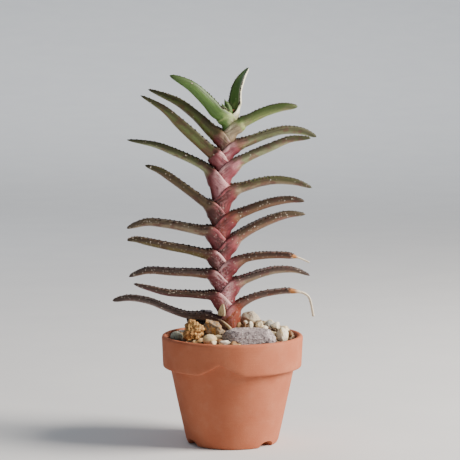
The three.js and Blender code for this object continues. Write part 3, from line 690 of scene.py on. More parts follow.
# The last colour, dark brown, is painted shade on the smallest pebbles, standing for the gaps between the
# bigger ones. Some bigger pebbles also draw it as their own colour.
PEBBLE_COLOURS = ("e2d2ae", "b99468", "ece4d0", "8d6a45", "cdb990",
                  "7a573a", "d8cdb0", "86765c", "d2ad78", "54402e")
while len(ramp.elements) < len(PEBBLE_COLOURS):
    ramp.elements.new(1.0)
for number, code in enumerate(PEBBLE_COLOURS):
    ramp.elements[number].position = number / len(PEBBLE_COLOURS)
    ramp.elements[number].color = colour(code)
stain = use(tree, patches, {"Place": spot, "Size": 1.6, "Low": 0.48, "High": 0.66})["Mask"]
tone = blend(tree, product(tree, stain, 0.5), kinds.outputs["Color"], colour("94704a"))
dots = use(tree, specks, {"Place": spot, "Spacing": 0.8, "Width": 0.4, "Share": 0.2})["Mask"]
tone = blend(tree, product(tree, dots, 0.4), tone, colour("5a4430"))
tree.links.new(tone, shader["Base Color"])
relief(tree, shader, use(tree, grain, {"Place": spot, "Size": 0.6, "Pits": 0.3})["Height"], 0.08)
print("pebble colours:", len(PEBBLE_COLOURS))

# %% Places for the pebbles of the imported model
GRIT_COUNT, STEM_HOLE, GOLDEN_ANGLE = 58, 8.6, 2.39996


def on_soil(angle, reach, above):
    """A place by its angle from the front and its reach from the middle, above the packed soil."""
    z = SOIL_TOP + mound(reach) + heap(angle, reach) + above
    return reach * math.sin(angle), -reach * math.cos(angle), z


def in_bare_strip(at):
    """The strip in front of the lavender stone, where only small pebbles lie."""
    return -5 < at[0] < 23 and at[1] < -26


draw = random_source(4711)
pebbles = []
for i in range(GRIT_COUNT):
    size = 2.4 + 1.9 * draw() ** 1.6
    r = 33.6 * math.sqrt((i + 0.6) / GRIT_COUNT) + (draw() - 0.5)
    angle = i * GOLDEN_ANGLE + (draw() - 0.5) * 0.25
    lift, flat, turn = 0.7 * draw(), 0.62 + 0.3 * draw(), 360 * draw()
    at = on_soil(angle, min(r, SOIL_REACH - size - 0.4), GAP + GRIT_LAYER + lift - 0.1)
    if r > STEM_HOLE + 1.2 and not in_bare_strip(at):
        pebbles.append((at, (size * 1.15, size * 0.95, max(size * flat, 1.3)), turn, 0.9, None))
CHIPS = [
    # centre, half sizes, turn, shade on the ramp of pebble colours
    ((3.6, -9.8, 65.8), (1.6, 1.5, 4.2), 10, 0.35), ((6.8, -10.6, 65.4), (1.6, 1.5, 4.2), -15, 0.55),
    ((10.2, -10.4, 67), (1.5, 1.7, 2.9), 5, 0.25), ((15.5, -8.4, 67.2), (2.3, 2.1, 2.8), 30, 0.05),
    ((24.6, -4.6, 66.6), (2.6, 2.2, 2.4), 0, 0.25), ((29.4, -7.6, 64.8), (2.8, 2.4, 2.4), 40, 0.05),
    ((32.2, -11, 62.8), (1.9, 2.2, 2), 20, 0.55), ((-4.3, -32, 60.8), (3.4, 2, 1.9), 4, 0.25),
    ((-10.6, -31.8, 60.3), (2.4, 1.9, 2.6), 15, 0.05),
]
pebbles += [(at, half, turn, 0.9, shade) for at, half, turn, shade in CHIPS]
print("pebbles of the packed model:", len(pebbles))

# %% Smaller pebbles in between
ALL_PEBBLES, FILL_REACH = len(pebbles) + 420, 35.4


def clear_of_stones(at, size):
    for _, centre, half, *_ in STONES:
        apart = [(a - c) / (h + 0.6 * size) for a, c, h in zip(at, centre, half)]
        if sum(v * v for v in apart) < 1:
            return False
    return True


draw = random_source(8123)
while len(pebbles) < ALL_PEBBLES:
    r, angle = 35.2 * math.sqrt(draw()), 2 * math.pi * draw()
    size, lift, turn, flat = 0.9 + 1.9 * draw() ** 2, draw(), 360 * draw(), 0.55 + 0.4 * draw()
    at = on_soil(angle, min(r, FILL_REACH - size), 2.3 + 1.6 * lift)
    near_stem = math.hypot(at[0] - lean_at(62), at[1]) < 6.2 + size
    crowded = sum(math.dist(at, p[0]) < 0.6 * (size + p[1][0]) for p in pebbles)
    if not near_stem and not crowded and clear_of_stones(at, size):
        pebbles.append((at, (size * 1.25, size * 0.95, size * (flat + 0.1)), turn, 1, None))
print("pebbles:", len(pebbles))

# %% Make the gravel
# Pebbles below this half size all get the ramp's last colour, dark brown, as painted shade in the gaps
# between the bigger pebbles.
GAP_SHADE_PEBBLE_SIZE, GAP_SHADE_ON_RAMP = 1.6, (0.9, 0.99)
draw = random_source(99)
points, faces, kind = [], [], []
for at, half, turn, angular, shade in pebbles:
    rock_points, rock_faces = rock(at, half, turn, angular, PEBBLE_DETAIL, draw, 0.16, 1.6)
    faces += [tuple(len(kind) + v for v in face) for face in rock_faces]
    points.append(rock_points)
    drawn = draw()
    # The smallest pebbles are painted dark brown, as shade in the gaps.
    if max(half) < GAP_SHADE_PEBBLE_SIZE:
        drawn = mix(*GAP_SHADE_ON_RAMP, drawn)
    kind += [drawn if shade is None else shade] * len(rock_points)
gravel = piece("gravel", np.concatenate(points), faces, [gravel_skin], values={"kind": kind})
stand_for(gravel, "grit", "grit")
print("gravel faces:", len(gravel.data.polygons))

# %% [markdown]
# ## Leaf surface
# A leaf changes colour along its length: pink or brick red where it wraps the stem, a reddish base, a
# green, olive, bronze or plum blade, and sometimes a red or dried end. Its underside has a tone of its
# own. Fine lengthwise lines run all along it. Its margins are thin and light on the sheath, and dark on
# the blade. The mesh carries where each point is on the leaf, so one node group can paint any leaf, and
# each leaf sets its own colours.

# %% Leaf colours as a node group
WHITE = (1, 1, 1, 1)
PAINTS = ("Sheath", "Base", "Middle", "End", "Under", "Blush", "Margin", "Edge")
# How far from the middle line the underside keeps its own tone, as a share of the half width.
UNDER_FROM = 0.76
leaf_paint, take, out = group(
    "Leaf colours",
    [(paint, "colour", WHITE) for paint in PAINTS]
    + [("Dry from", "number", 2.0), ("Papery", "number", 0.3), ("Pale side", "number", 0.0),
       ("Under from", "number", UNDER_FROM), ("Seed", "number", 0.0)],
    [("Colour", "colour"), ("Dry", "number"), ("Lines", "number")])
tree = leaf_paint
spot = use(tree, place_mm)["Place"]
seed_vector = add(tree, "ShaderNodeCombineXYZ", {axis: take["Seed"] for axis in range(3)}).outputs[0]
shifted = add(tree, "ShaderNodeVectorMath", {0: spot, 1: seed_vector}, operation="ADD").outputs[0]
along, across, under = (attribute(tree, name) for name in ("along", "across", "under"))
rim, length, angle = (attribute(tree, name) for name in ("rim", "length", "angle"))
wander = product(tree, maths(tree, "SUBTRACT", clouds(tree, shifted, 0.22), 0.5), 0.5)
at = maths(tree, "ADD", along, wander)
blade = span(tree, along, -0.05, 0.1)
sheath = maths(tree, "SUBTRACT", 1.0, blade)
print("group:", leaf_paint.name)

# %% Lengthwise lines in the leaf
def lines_along(times, stretch):
    inputs = {0: product(tree, across, times), 1: product(tree, length, stretch), 2: take["Seed"]}
    return clouds(tree, add(tree, "ShaderNodeCombineXYZ", inputs).outputs[0])


lines, broad = lines_along(16.0, 0.1), lines_along(6.0, 0.16)
tree.links.new(lines, out["Lines"])
print("lines: fine and broad")

# %% Colours from the foot of the leaf to its end
flank = product(tree, span(tree, angle, 34.0, 84.0), span(tree, broad, 0.2, 0.5, 0.6, 1.0))
low = blend(tree, flank, take["Blush"], take["Sheath"])
tone = blend(tree, span(tree, at, -0.22, 0.1), low, take["Base"])
tone = blend(tree, span(tree, at, 0.04, 0.3), tone, take["Middle"])
tone = blend(tree, span(tree, at, 0.6, 0.95), tone, take["End"])
outer = maths(tree, "ADD", take["Under from"], 0.18)
inner = maths(tree, "SUBTRACT", take["Under from"], 0.18)
belly = span(tree, maths(tree, "ABSOLUTE", across), outer, inner)
belly = product(tree, under, span(tree, along, -0.05, 0.18), belly, span(tree, along, 1.0, 0.75, 0.3, 0.92))
tone = blend(tree, belly, tone, take["Under"])
red = use(tree, patches, {"Place": shifted, "Size": 5.0, "Low": 0.5, "High": 0.66})["Mask"]
tone = blend(tree, product(tree, red, 0.55), tone, take["Blush"])
tone = blend(tree, product(tree, span(tree, lines, 0.48, 0.3), 0.42), tone, take["Edge"])
print("colours along the leaf: 4, under it 1")

# %% Pale streaks, papery skin and light edges on the sheath, dark edges on the blade
front = product(tree, sheath, flank)
strength = maths(tree, "ADD", product(tree, front, 0.42), 0.02)
tone = blend(tree, product(tree, span(tree, lines, 0.5, 0.62), strength), tone, take["Margin"])
torn = use(tree, patches, {"Place": shifted, "Size": 1.1, "Low": 0.5, "High": 0.58})["Mask"]
torn = product(tree, torn, front, take["Papery"], 0.6)
tone = blend(tree, torn, tone, colour("ecc0c6"))
holes = use(tree, patches, {"Place": spot, "Size": 1.5, "Low": 0.56, "High": 0.64})["Mask"]
holes = product(tree, holes, front, maths(tree, "ADD", take["Papery"], 0.25), 0.7)
tone = blend(tree, holes, tone, colour("3c1c1a"))
skin_wide = product(tree, span(tree, broad, 0.35, 0.7), 3.2)
light_edge = product(tree, span(tree, maths(tree, "SUBTRACT", rim, skin_wide), 0.5, -0.2), front, 0.8)
tone = blend(tree, light_edge, tone, take["Margin"])
dark_edge = product(tree, span(tree, rim, 1.5, 0.3), blade, 0.75)
tone = blend(tree, dark_edge, tone, take["Edge"])
side = product(tree, across, take["Pale side"])
tone = blend(tree, span(tree, side, 0.45, 0.75), tone, take["Margin"])
print("sheath and edges done")

# %% Dried ends
dry_at = maths(tree, "ADD", along, product(tree, wander, 0.1))
dry_at = maths(tree, "SUBTRACT", dry_at, take["Dry from"])
dry = span(tree, dry_at, -0.03, 0.01)
tone = blend(tree, dry, tone, colour("b87a45"))
tone = blend(tree, span(tree, dry_at, 0.03, 0.12), tone, colour("f3e6cd"))
tree.links.new(tone, out["Colour"])
tree.links.new(dry, out["Dry"])
gives = [socket.name for socket in leaf_paint.interface.items_tree if socket.in_out == "OUTPUT"]
print("outputs of the group:", gives)

# %% [markdown]
# ## One material for each leaf
# The colours of each leaf are named from a short palette of plant colours. The plant is bright green at
# the top, olive and bronze in the middle and plum at the foot, where leaves are oldest and have had most
# sun. Old leaves also have pale flecks, and two have dried ends.

# %% Palette and colours of the leaves
PALETTE = dict(
    leaf="5f8240", lime="a9bd78", olive="74834a", moss="67783f", sage="9ca277", forest="3d5228",
    bronze="75693f", umber="6a553c", brown="745949", dusk="7b5a4c", clay="8a6a52", tan="a8957a",
    plum="765150", wine="7c3a3f", maroon="532a27", rose="ad5c62", mauve="984f59", pink="cb878e",
    brick="8f4430", rust="9e5234", heather="86706a", shell="e2b3b2", straw="dcc396", cream="d9d6ac",
    ivory="ebe8cc", night="2e231c", soot="33251d")
LEAF_COLOURS = {
    # leaf: sheath, base, middle, end, under, blush, margin, edge
    "leaf_left_10": "maroon plum heather heather heather plum straw night",
    "leaf_right_10": "rust brick heather heather heather brick pink soot",
    "leaf_left_09": "rose wine brown plum plum wine shell night",
    "leaf_right_09": "pink mauve heather heather tan wine shell night",
    "leaf_left_08": "mauve wine heather heather clay wine shell night",
    "leaf_right_08": "rose mauve dusk dusk clay wine shell night",
    "leaf_left_07": "wine wine umber bronze bronze maroon shell night",
    "leaf_right_07": "maroon rose umber bronze clay wine rose night",
    "leaf_left_06": "maroon dusk tan tan tan wine rose night",
    "leaf_right_06": "brick brick umber umber clay wine rose night",
    "leaf_left_05": "maroon dusk bronze moss umber maroon rose night",
    "leaf_right_05": "maroon dusk olive moss tan wine rose soot",
    "leaf_left_04": "pink wine olive moss sage wine shell night",
    "leaf_right_04": "rose pink sage olive sage mauve shell night",
    "leaf_left_03": "mauve wine olive moss bronze wine shell soot",
    "leaf_right_03": "mauve clay sage olive sage mauve shell night",
    "leaf_left_02": "dusk umber olive moss bronze wine tan soot",
    "leaf_right_02": "tan lime olive olive lime tan cream forest",
    "leaf_left_01": "cream lime leaf forest leaf leaf lime forest",
    "leaf_right_01": "cream lime leaf leaf lime leaf ivory forest",
    "leaf_young": "lime leaf leaf forest forest leaf lime forest",
}
# From which share of the blade a leaf is dry. The others never are.
DRY_FROM, NEVER = {"leaf_right_10": 0.5, "leaf_right_08": 0.72}, 2.0
# How papery a sheath's torn skin is.
PAPERY = {"leaf_left_08": 0.8, "leaf_right_08": 0.9, "leaf_left_09": 0.9, "leaf_right_09": 1.0,
          "leaf_left_07": 0.7}
# Leaves whose underside keeps its own tone in a narrower band.
TWO_TONED = ("leaf_left_02", "leaf_left_03", "leaf_right_02", "leaf_right_03", "leaf_right_04")
NARROW_UNDER = 0.5
# The side of a leaf that is pale: -1 is its first margin.
PALE_SIDE = {"leaf_right_01": -1.0}
# The number of oldest leaves with many flecks, and of those with any.
MANY_FLECKS, SOME_FLECKS = 9, 12


def leaf_material(name, index):
    made, tree, shader = material(name + "_skin", roughness=0.5, specular=0.3)
    values = {paint: colour(PALETTE[word]) for paint, word in zip(PAINTS, LEAF_COLOURS[name].split())}
    values["Dry from"] = DRY_FROM.get(name, NEVER)
    values["Papery"] = PAPERY.get(name, 0.2)
    values["Under from"] = NARROW_UNDER if name in TWO_TONED else UNDER_FROM
    values["Pale side"] = PALE_SIDE.get(name, 0.0)
    values["Seed"] = index * 3.7
    paint = use(tree, leaf_paint, values)
    spot = use(tree, place_mm)["Place"]
    dim = use(tree, patches, {"Place": spot, "Size": 0.7, "Low": 0.3, "High": 0.7})["Mask"]
    tone = blend(tree, product(tree, dim, 0.2), paint["Colour"], colour("2f231b"))
    if index < SOME_FLECKS:
        share = 0.3 if index < MANY_FLECKS else 0.12
        flecks = use(tree, specks, {"Place": spot, "Spacing": 1.3, "Width": 0.38, "Share": share})["Mask"]
        tone = blend(tree, product(tree, flecks, 0.5), tone, colour("b3a594"))
    tree.links.new(tone, shader["Base Color"])
    tree.links.new(span(tree, paint["Dry"], 0.0, 1.0, 0.42, 0.75), shader["Roughness"])
    fine = use(tree, grain, {"Place": spot, "Size": 0.5, "Pits": 0.0})["Height"]
    height = maths(tree, "ADD", product(tree, fine, 0.35), paint["Lines"])
    relief(tree, shader, height, 0.2)
    return made


bump_skin = cloudy_skin("leaf_bumps", (0.5, 0.4), 1.2, 0.3, 0.7, "d6cebf", "a3907f")
tooth_skin = cloudy_skin("leaf_teeth", (0.5, 0.4), 1.5, 0.4, 0.7, "221812", "5f4636")
print("leaf colourings:", len(LEAF_COLOURS))

# %% [markdown]
# ## Shape of a leaf
# A leaf is one closed body. Low down it is a thin sheath rolled round the stem, nested between its
# neighbours. Higher up its two margins part and slant away, and the rolled sheet opens into a fleshy
# channelled blade that is flat or hollow above and rounded below. Each ring of points goes along the
# upper face from margin to margin and back along the underside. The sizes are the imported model's own.

# %% Sizes of the leaves
SHEATH_WALL, SHEATH_NODES, COLUMN = 0.85, 2.3, 172 / 6
CORE_RADIUS, TOP_CORE_RADIUS, CORE_NARROWS = 2.9, 1.3, (158, 188)
LEAVES = [
    # leaf, height where its margins leave the stem, turn, half width, thickness, roll, middle line x z x z
    ("leaf_left_10", 70, 4, 4.6, 3.7, 0,
     (-15.4, 71.1, -26.2, 71.8, -36.3, 75.1, -47.1, 79.4, -58.5, 81.2, -68, 79.5)),
    ("leaf_right_10", 79, -3, 4.3, 3.5, 0,
     (9.2, 81, 18.2, 84.1, 29.2, 85.8, 36.4, 85.5, 40.8, 84.4, 43.8, 80.9, 45.7, 71.6)),
    ("leaf_left_09", 86, -5, 4.6, 3.8, 0, (-14.9, 83.3, -25, 84.1, -36.6, 85, -47.6, 87.9, -55.5, 90.2)),
    ("leaf_right_09", 92.4, 5, 4.5, 4.1, 0, (7.7, 92.3, 16.2, 95.3, 25.2, 97.3, 35.4, 97.1, 44, 94)),
    ("leaf_left_08", 98.5, 5, 4.7, 4.3, 0,
     (-15.6, 95.3, -22.9, 95.8, -34.6, 96.2, -47, 96.9, -53.6, 95.3, -58.6, 93.2)),
    ("leaf_right_08", 104, -6, 4.5, 4.3, 0,
     (8.3, 104.6, 18.4, 106.1, 29.3, 106.3, 36.8, 105.1, 43.2, 102.4)),
    ("leaf_left_07", 109.7, -6, 4.8, 4.5, 0,
     (-15.4, 106.8, -24.9, 109.2, -35.6, 111.3, -47.3, 113.9, -54.2, 115.4, -59, 115)),
    ("leaf_right_07", 116.2, 5, 4.7, 5.2, 0,
     (4.2, 116.9, 11.7, 121.4, 21.8, 125.9, 31.9, 128.8, 41.3, 128.8)),
    ("leaf_left_06", 123, 4, 4.8, 4.7, 0,
     (-17.4, 119.9, -25.6, 121.4, -35.6, 123.2, -47.3, 124.4, -54.5, 122.8, -59.6, 120.8)),
    ("leaf_right_06", 130.2, -5, 4.6, 4.9, 0,
     (4.6, 129.7, 14, 133.5, 23.4, 136.4, 32.5, 137.7, 40.4, 136.8)),
    ("leaf_left_05", 136.6, -4, 4.6, 4.6, 0,
     (-15.8, 135.9, -22.1, 140.7, -33.3, 149, -41.1, 154, -48.9, 156.9)),
    ("leaf_right_05", 145.5, 5, 4.8, 4.8, 0, (5.4, 144.1, 15.8, 147, 25.1, 148.2, 35.8, 147, 44.8, 143.8)),
    ("leaf_left_04", 154.5, 3, 4.7, 4.1, 0,
     (-15.2, 155.5, -21.8, 159.2, -33, 164.2, -44.4, 168.4, -59.3, 170.9)),
    ("leaf_right_04", 159.5, -7, 4.6, 5.2, 0,
     (5.6, 159.9, 13.9, 163.9, 22, 167.3, 32.3, 171.5, 43.7, 172.2)),
    ("leaf_left_03", 165.5, -6, 4.8, 5.6, 8,
     (-12, 164.4, -20.3, 171.5, -29.8, 180.2, -38.8, 188.6, -51.1, 195.9)),
    ("leaf_right_03", 170.8, 6, 4.7, 5.1, 0, (8, 169.8, 18.9, 173.7, 29, 176.3, 39, 175.7, 47.4, 172.4)),
    ("leaf_left_02", 176.2, 6, 4.7, 5.6, 8,
     (-11.5, 175.9, -20, 184.2, -29.6, 191.5, -38.7, 195.7, -47.3, 199.1)),
    ("leaf_right_02", 182, -8, 4.4, 5.6, 0, (8.8, 182.2, 18.3, 186.8, 27.8, 189.4, 36.4, 189.7)),
    ("leaf_left_01", 187, -22, 4.5, 5.6, 16, (-9, 186.2, -14.1, 192, -23.6, 201, -34.6, 207.1)),
    ("leaf_right_01", 190, 50, 4.2, 3.2, 0, (2.3, 193, 3, 199, 5.3, 205, 9.3, 211.3)),
    ("leaf_young", 191.4, 8, 1.9, 2.4, 0, (-3.8, 190.6, -4.6, 193.8)),
]
# Withered ends: the share of the blade where they begin, the share of width left, the least thickness.
WITHERED = {"leaf_right_10": (0.62, 0.42, 1.35), "leaf_right_08": (0.8, 0.28, 0.8)}
# How much a leaf swells where it opens, next to the usual swell.
FOOT_SWELL = {"leaf_left_10": 0.3, "leaf_right_10": 0.4, "leaf_left_01": 1.2}
# Extra thickness in mm below the place where a leaf opens.
HIPS = {"leaf_left_09": 1, "leaf_left_08": 1, "leaf_left_07": 1, "leaf_left_06": 1, "leaf_left_05": 0.8,
        "leaf_left_04": 0.5}
# How blunt a leaf's end is: a power of the share along the blade that its thickness falls away by.
BLUNT, USUAL_BLUNT = {"leaf_left_10": 14, "leaf_left_03": 3, "leaf_left_02": 2.6}, 5
EXITS = np.array([row[1] for row in LEAVES])
print("leaves:", len(LEAVES))

# %% Rolled sheaths nested by age
BELOW_STEP, ABOVE_STEP = 6, 3


def rank(z):
    """How many leaves leave the stem below a height, as a number that changes evenly between them."""
    z = np.asarray(z, float)
    inner = np.interp(z, EXITS, np.arange(len(EXITS)))
    below, above = (z - EXITS[0]) / BELOW_STEP, (z - EXITS[-1]) / ABOVE_STEP
    return inner + np.minimum(0, below) + np.maximum(0, above)


def height_of_rank(value):
    if value <= 0:
        return EXITS[0] + BELOW_STEP * value
    return float(np.interp(value, np.arange(len(EXITS)), EXITS))


def sheath_radius(z, index):
    """Inner radius of a leaf's sheath: the core and all younger sheaths lie inside it."""
    low, high = CORE_NARROWS
    core = mix(CORE_RADIUS, TOP_CORE_RADIUS, np.clip((np.asarray(z) - low) / (high - low), 0, 1))
    within = min(3, len(LEAVES) - 1 - index + 0.1)
    layer = np.clip(rank(z) - index + SHEATH_NODES, 0, within)
    return core + GAP + (SHEATH_WALL + GAP) * layer


print("radius of the sheath of the sixth leaf where it opens:", round(float(sheath_radius(106, 5)), 2), "mm")

# %% Points across a leaf and curves along it
FACE_STEPS = 40
share = np.linspace(-1, 1, FACE_STEPS + 1)
upper = 0.5 * share - 0.5 * np.cos(math.pi * (share + 1) / 2)
ACROSS = np.concatenate([upper, upper[-2:0:-1]])
BACK = np.concatenate([np.zeros(FACE_STEPS + 1), np.ones(FACE_STEPS - 1)])
BACK[0] = BACK[FACE_STEPS] = 0.5
UNDER = (BACK > 0.6).astype(float)


def even_curve(knots, at):
    """A Catmull-Rom curve with evenly spaced knots, at shares from 0 to 1."""
    knots = np.asarray(knots, float)
    last = len(knots) - 1
    place = last * np.asarray(at, float)
    i = np.minimum(np.floor(place).astype(int), last - 1)
    w = (place - i)[:, None]
    p0, p1 = knots[np.maximum(i - 1, 0)], knots[i]
    p2, p3 = knots[i + 1], knots[np.minimum(i + 2, last)]
    v0, v1 = (p2 - p0) * 0.5, (p3 - p1) * 0.5
    return (2 * p1 - 2 * p2 + v0 + v1) * w ** 3 + (-3 * p1 + 3 * p2 - 2 * v0 - v1) * w ** 2 + v0 * w + p1


def sheath_depth(angle, keel):
    swell = np.maximum(0, 1 - (angle / (72 * DEG)) ** 2) ** 1.2
    return SHEATH_WALL * np.sqrt(np.maximum(1 - np.abs(ACROSS) ** 8, 0)) + (keel - SHEATH_WALL) * swell


print("points in one ring of a leaf:", len(ACROSS))

# %% Where one leaf opens and points
USUAL_THICKNESS = 4.6
# A sheath's margins part at PART_DROP below its exit and end at LAST_DROP, measured in the leaf's reach.
# There it is tilted by LAST_TILT and wraps LAST_HALF_ANGLE degrees of the stem to each side.
PART_DROP, LAST_DROP, LAST_TILT, LAST_HALF_ANGLE = 1.63, 0.41, 42, 57


def leaf_plan(row, index):
    """What the sheath and the blade of a leaf both need."""
    _, exit_z, turn, _, thick, _, line = row
    cos_turn = math.cos(turn * DEG)
    left = line[0] < lean_at(exit_z)
    outward = (-cos_turn if left else cos_turn, math.sin(turn * DEG))

    def place(out, side, z):
        z = np.broadcast_to(z, np.shape(out))
        x = lean_at(z) + outward[0] * out - outward[1] * side
        return np.stack([x, outward[1] * out + outward[0] * side, z], -1)

    around = float(sheath_radius(exit_z, index))
    fat = thick / USUAL_THICKNESS
    rise = math.atan2(line[3] - line[1], abs(line[2] - line[0])) / DEG
    gusset = mix(1.22, 1, float(ease(5, 35, rise)))
    reach = max(around, 5 * min(1, fat))
    return SimpleNamespace(place=place, around=around, fat=fat, rise=rise, gusset=gusset, reach=reach)


print("reach of the sixth leaf where it opens:", round(leaf_plan(LEAVES[5], 5).reach, 2), "mm")

# %% Rings of a sheath
SHEATH_RINGS, CLOSED_RINGS = 30, 6


def sheath_rings(row, index, plan):
    """Rings from a sheath's foot to where the blade starts, each with the numbers for the skin."""
    name, exit_z = row[:2]
    foot = min(height_of_rank(index - SHEATH_NODES), exit_z - 1.85 * plan.reach)
    drops = np.array([(exit_z - foot) / plan.reach, PART_DROP, 1.47, 1.32, 0.92, LAST_DROP])
    swell = plan.fat * FOOT_SWELL.get(name, 1) * float(mix(1, 0.3, ease(40, 75, plan.rise)))
    swell = swell * np.array([0, 0.7, 1.2, 1.6, 2.5 * plan.gusset, 3.3 * plan.gusset])
    hips = HIPS.get(name, 0) * np.array([0, 1, 1, 0.8, 0, 0])
    known = np.array([[0, 0, 6, 15, 27, LAST_TILT], [6, 6, 5, 4, 3, 2], SHEATH_WALL + swell + hips])
    closed = np.linspace(-drops[0], -1.7, CLOSED_RINGS)
    opening = np.linspace(-PART_DROP, -LAST_DROP, SHEATH_RINGS - CLOSED_RINGS)
    ripple_seed = Vector((index * 7.3, 0, 0))
    rings = []
    for minus_drop in np.concatenate([closed, opening]):
        tilt, columns, keel = (float(smooth_line(-drops, values, minus_drop)) for values in known)
        angle = ACROSS * columns * COLUMN * DEG
        z = exit_z + minus_drop * plan.reach
        height = z + sheath_radius(z, index) * math.tan(tilt * DEG) * (1 - np.cos(angle))
        radius = sheath_radius(height, index)
        pleat = np.array([noise.noise(Vector((a * 9, minus_drop * 0.8, 0)) + ripple_seed) for a in ACROSS])
        fade = 1 - np.abs(ACROSS) ** 6
        depth = (sheath_depth(angle, keel) + 0.22 * pleat * fade) * UNDER
        out = radius * np.cos(angle) + depth * np.cos(angle) * math.cos(tilt * DEG)
        up = height - depth * np.cos(angle) * math.sin(tilt * DEG)
        side = (radius + depth) * np.sin(angle)
        along = (minus_drop + LAST_DROP) / (PART_DROP - LAST_DROP) * 0.5
        rim = (1 - np.abs(ACROSS)) * columns * COLUMN * DEG * plan.around
        away = np.abs(ACROSS) * columns * COLUMN
        rings.append((plan.place(out, side, up), along, minus_drop * plan.reach, rim, away))
    return rings, (out, up, side)


print("rings in a sheath:", SHEATH_RINGS)

# %% Width and thickness of a blade
def blade_sizes(row, t, start_wide, gusset):
    """Half width and thickness at shares t of the blade."""
    name, half_width, thick = row[0], row[3], row[4]
    wide = mix(start_wide, half_width, ease(0, 0.2, t))
    if name in WITHERED:
        from_t, left_over, least = WITHERED[name]
        left_share = 1 - ease(from_t - 0.16, from_t + 0.03, t) * (1 - left_over)
        wide = wide * left_share * (1 - 0.45 * t)
        deep = thick * left_share * (1 + 0.6 * np.exp(-8 * t)) * (1 - 0.3 * t)
        return np.maximum(wide, 0.5), np.maximum(deep, least)
    wide = wide * np.maximum(1 - t ** 2.6, 0) ** 0.75
    deep = thick * (1 + 0.8 * gusset * np.exp(-8 * t))
    deep = deep * np.maximum(1 - t ** BLUNT.get(name, USUAL_BLUNT), 0) ** 0.7
    return np.maximum(wide, 0.14), np.maximum(deep, 0.22)


middle_sizes = blade_sizes(LEAVES[5], np.array([0.5]), 5, 1)
print("width and thickness in the middle of the sixth leaf:", [round(float(v[0]), 2) for v in middle_sizes])

# %% Rings of a blade
BLADE_RINGS = 84


def blade_rings(row, index, plan, last):
    """Rings from the last ring of the sheath to the leaf's end, each with the numbers for the skin."""
    _, exit_z, turn, _, _, roll, line = row
    start_z = exit_z - LAST_DROP * plan.reach
    start_r = float(sheath_radius(start_z, index))
    knots = [(float(sheath_radius(exit_z - plan.reach, index)), exit_z - plan.reach), (start_r, start_z)]
    for x, z in zip(line[::2], line[1::2]):
        knots.append((abs(x - float(lean_at(z))) / math.cos(turn * DEG), z))
    t = 1 - (1 - np.arange(1, BLADE_RINGS + 1) / BLADE_RINGS) ** 1.12
    at = mix(1 / (len(knots) - 1), 1, np.minimum(t, 0.9995))
    path = even_curve(knots, at)
    path_length = float(np.hypot(*np.diff(path, axis=0).T).sum())
    ahead = even_curve(knots, np.minimum(at + 0.001, 1)) - even_curve(knots, at - 0.001)
    start_lean = (90 - LAST_TILT) * DEG
    lean = mix(start_lean, np.arctan2(ahead[:, 1], ahead[:, 0]), ease(0, 0.24, t))
    wide, deep = blade_sizes(row, t, start_r * math.sin(LAST_HALF_ANGLE * DEG), plan.gusset)
    last_out, last_up, last_side = last
    offset = np.stack([last_out, last_up], -1) - np.array([start_r, start_z])
    start_down = offset @ np.array([math.sin(start_lean), -math.cos(start_lean)])
    start_ahead = offset @ np.array([math.cos(start_lean), math.sin(start_lean)])
    rings = []
    for k in range(BLADE_RINGS):
        open_by = mix(24, LAST_HALF_ANGLE, math.exp(-5 * t[k])) * DEG
        channel = min(wide[k] * math.tan(open_by / 2), deep[k] * 0.45)
        arc = 2 * math.atan(channel / wide[k])
        radius = wide[k] / math.sin(arc)
        wave = 0.05 * math.sin(11 * t[k] + index) * min(1, 4 * t[k])
        angle = ACROSS * arc
        depth = (deep[k] - channel) * np.maximum(1 - ACROSS ** 2, 0) ** 0.6 * UNDER
        down = (radius + depth) * np.cos(angle) - radius
        side = (radius + depth) * np.sin(angle) * (1 + wave)
        rolled = roll * DEG * float(ease(0.1, 0.6, t[k]))
        cos, sin = math.cos(rolled), math.sin(rolled)
        down, side = down * cos - side * sin, down * sin + side * cos
        down = down - (deep[k] / 2 - channel) * float(ease(0, 0.15, t[k]))
        begun = float(ease(0, 0.17, t[k]))
        down, side = mix(start_down, down, begun), mix(last_side, side, begun)
        forth = start_ahead * (1 - begun)
        cos, sin = math.cos(lean[k]), math.sin(lean[k])
        out = path[k, 0] + sin * down + cos * forth
        up = path[k, 1] - cos * down + sin * forth
        rim = (1 - np.abs(ACROSS)) * wide[k]
        away = np.abs(ACROSS) * 2 * COLUMN * (1 - 0.5 * begun)
        rings.append((plan.place(out, side, up), t[k], t[k] * path_length, rim, away))
    return rings


print("rings in a blade:", BLADE_RINGS)

# %% Rings of one leaf
SMOOTHED, SMOOTHINGS = (SHEATH_RINGS - 9, SHEATH_RINGS + 12), 30


def leaf_rings(row, index):
    """All rings of a leaf, smoothed where the blade starts, with the numbers that its skin reads."""
    plan = leaf_plan(row, index)
    sheath, last = sheath_rings(row, index, plan)
    blade = blade_rings(row, index, plan, last)
    rings, along, length, rim, away = (np.array(values) for values in zip(*sheath, *blade))
    low, high = SMOOTHED
    for _ in range(SMOOTHINGS):
        rings[low:high] = rings[low:high] / 2 + (rings[low - 1:high - 1] + rings[low + 1:high + 1]) / 4
    return rings, along, length, rim, away


rings = leaf_rings(LEAVES[6], 6)[0]
print("rings in one leaf:", len(rings), "points:", rings.shape[0] * rings.shape[1])

# %% [markdown]
# ## Teeth and pale bumps
# The margins carry tiny teeth, dark at the tip, and the older leaves have raised pale bumps. Both are
# real little bodies sunk in the leaf, because they break the leaf's outline where they stand at its edge.

# %% Small cones and domes on a surface
TOOTH_SIDES, BUMP_SIDES = 6, 8


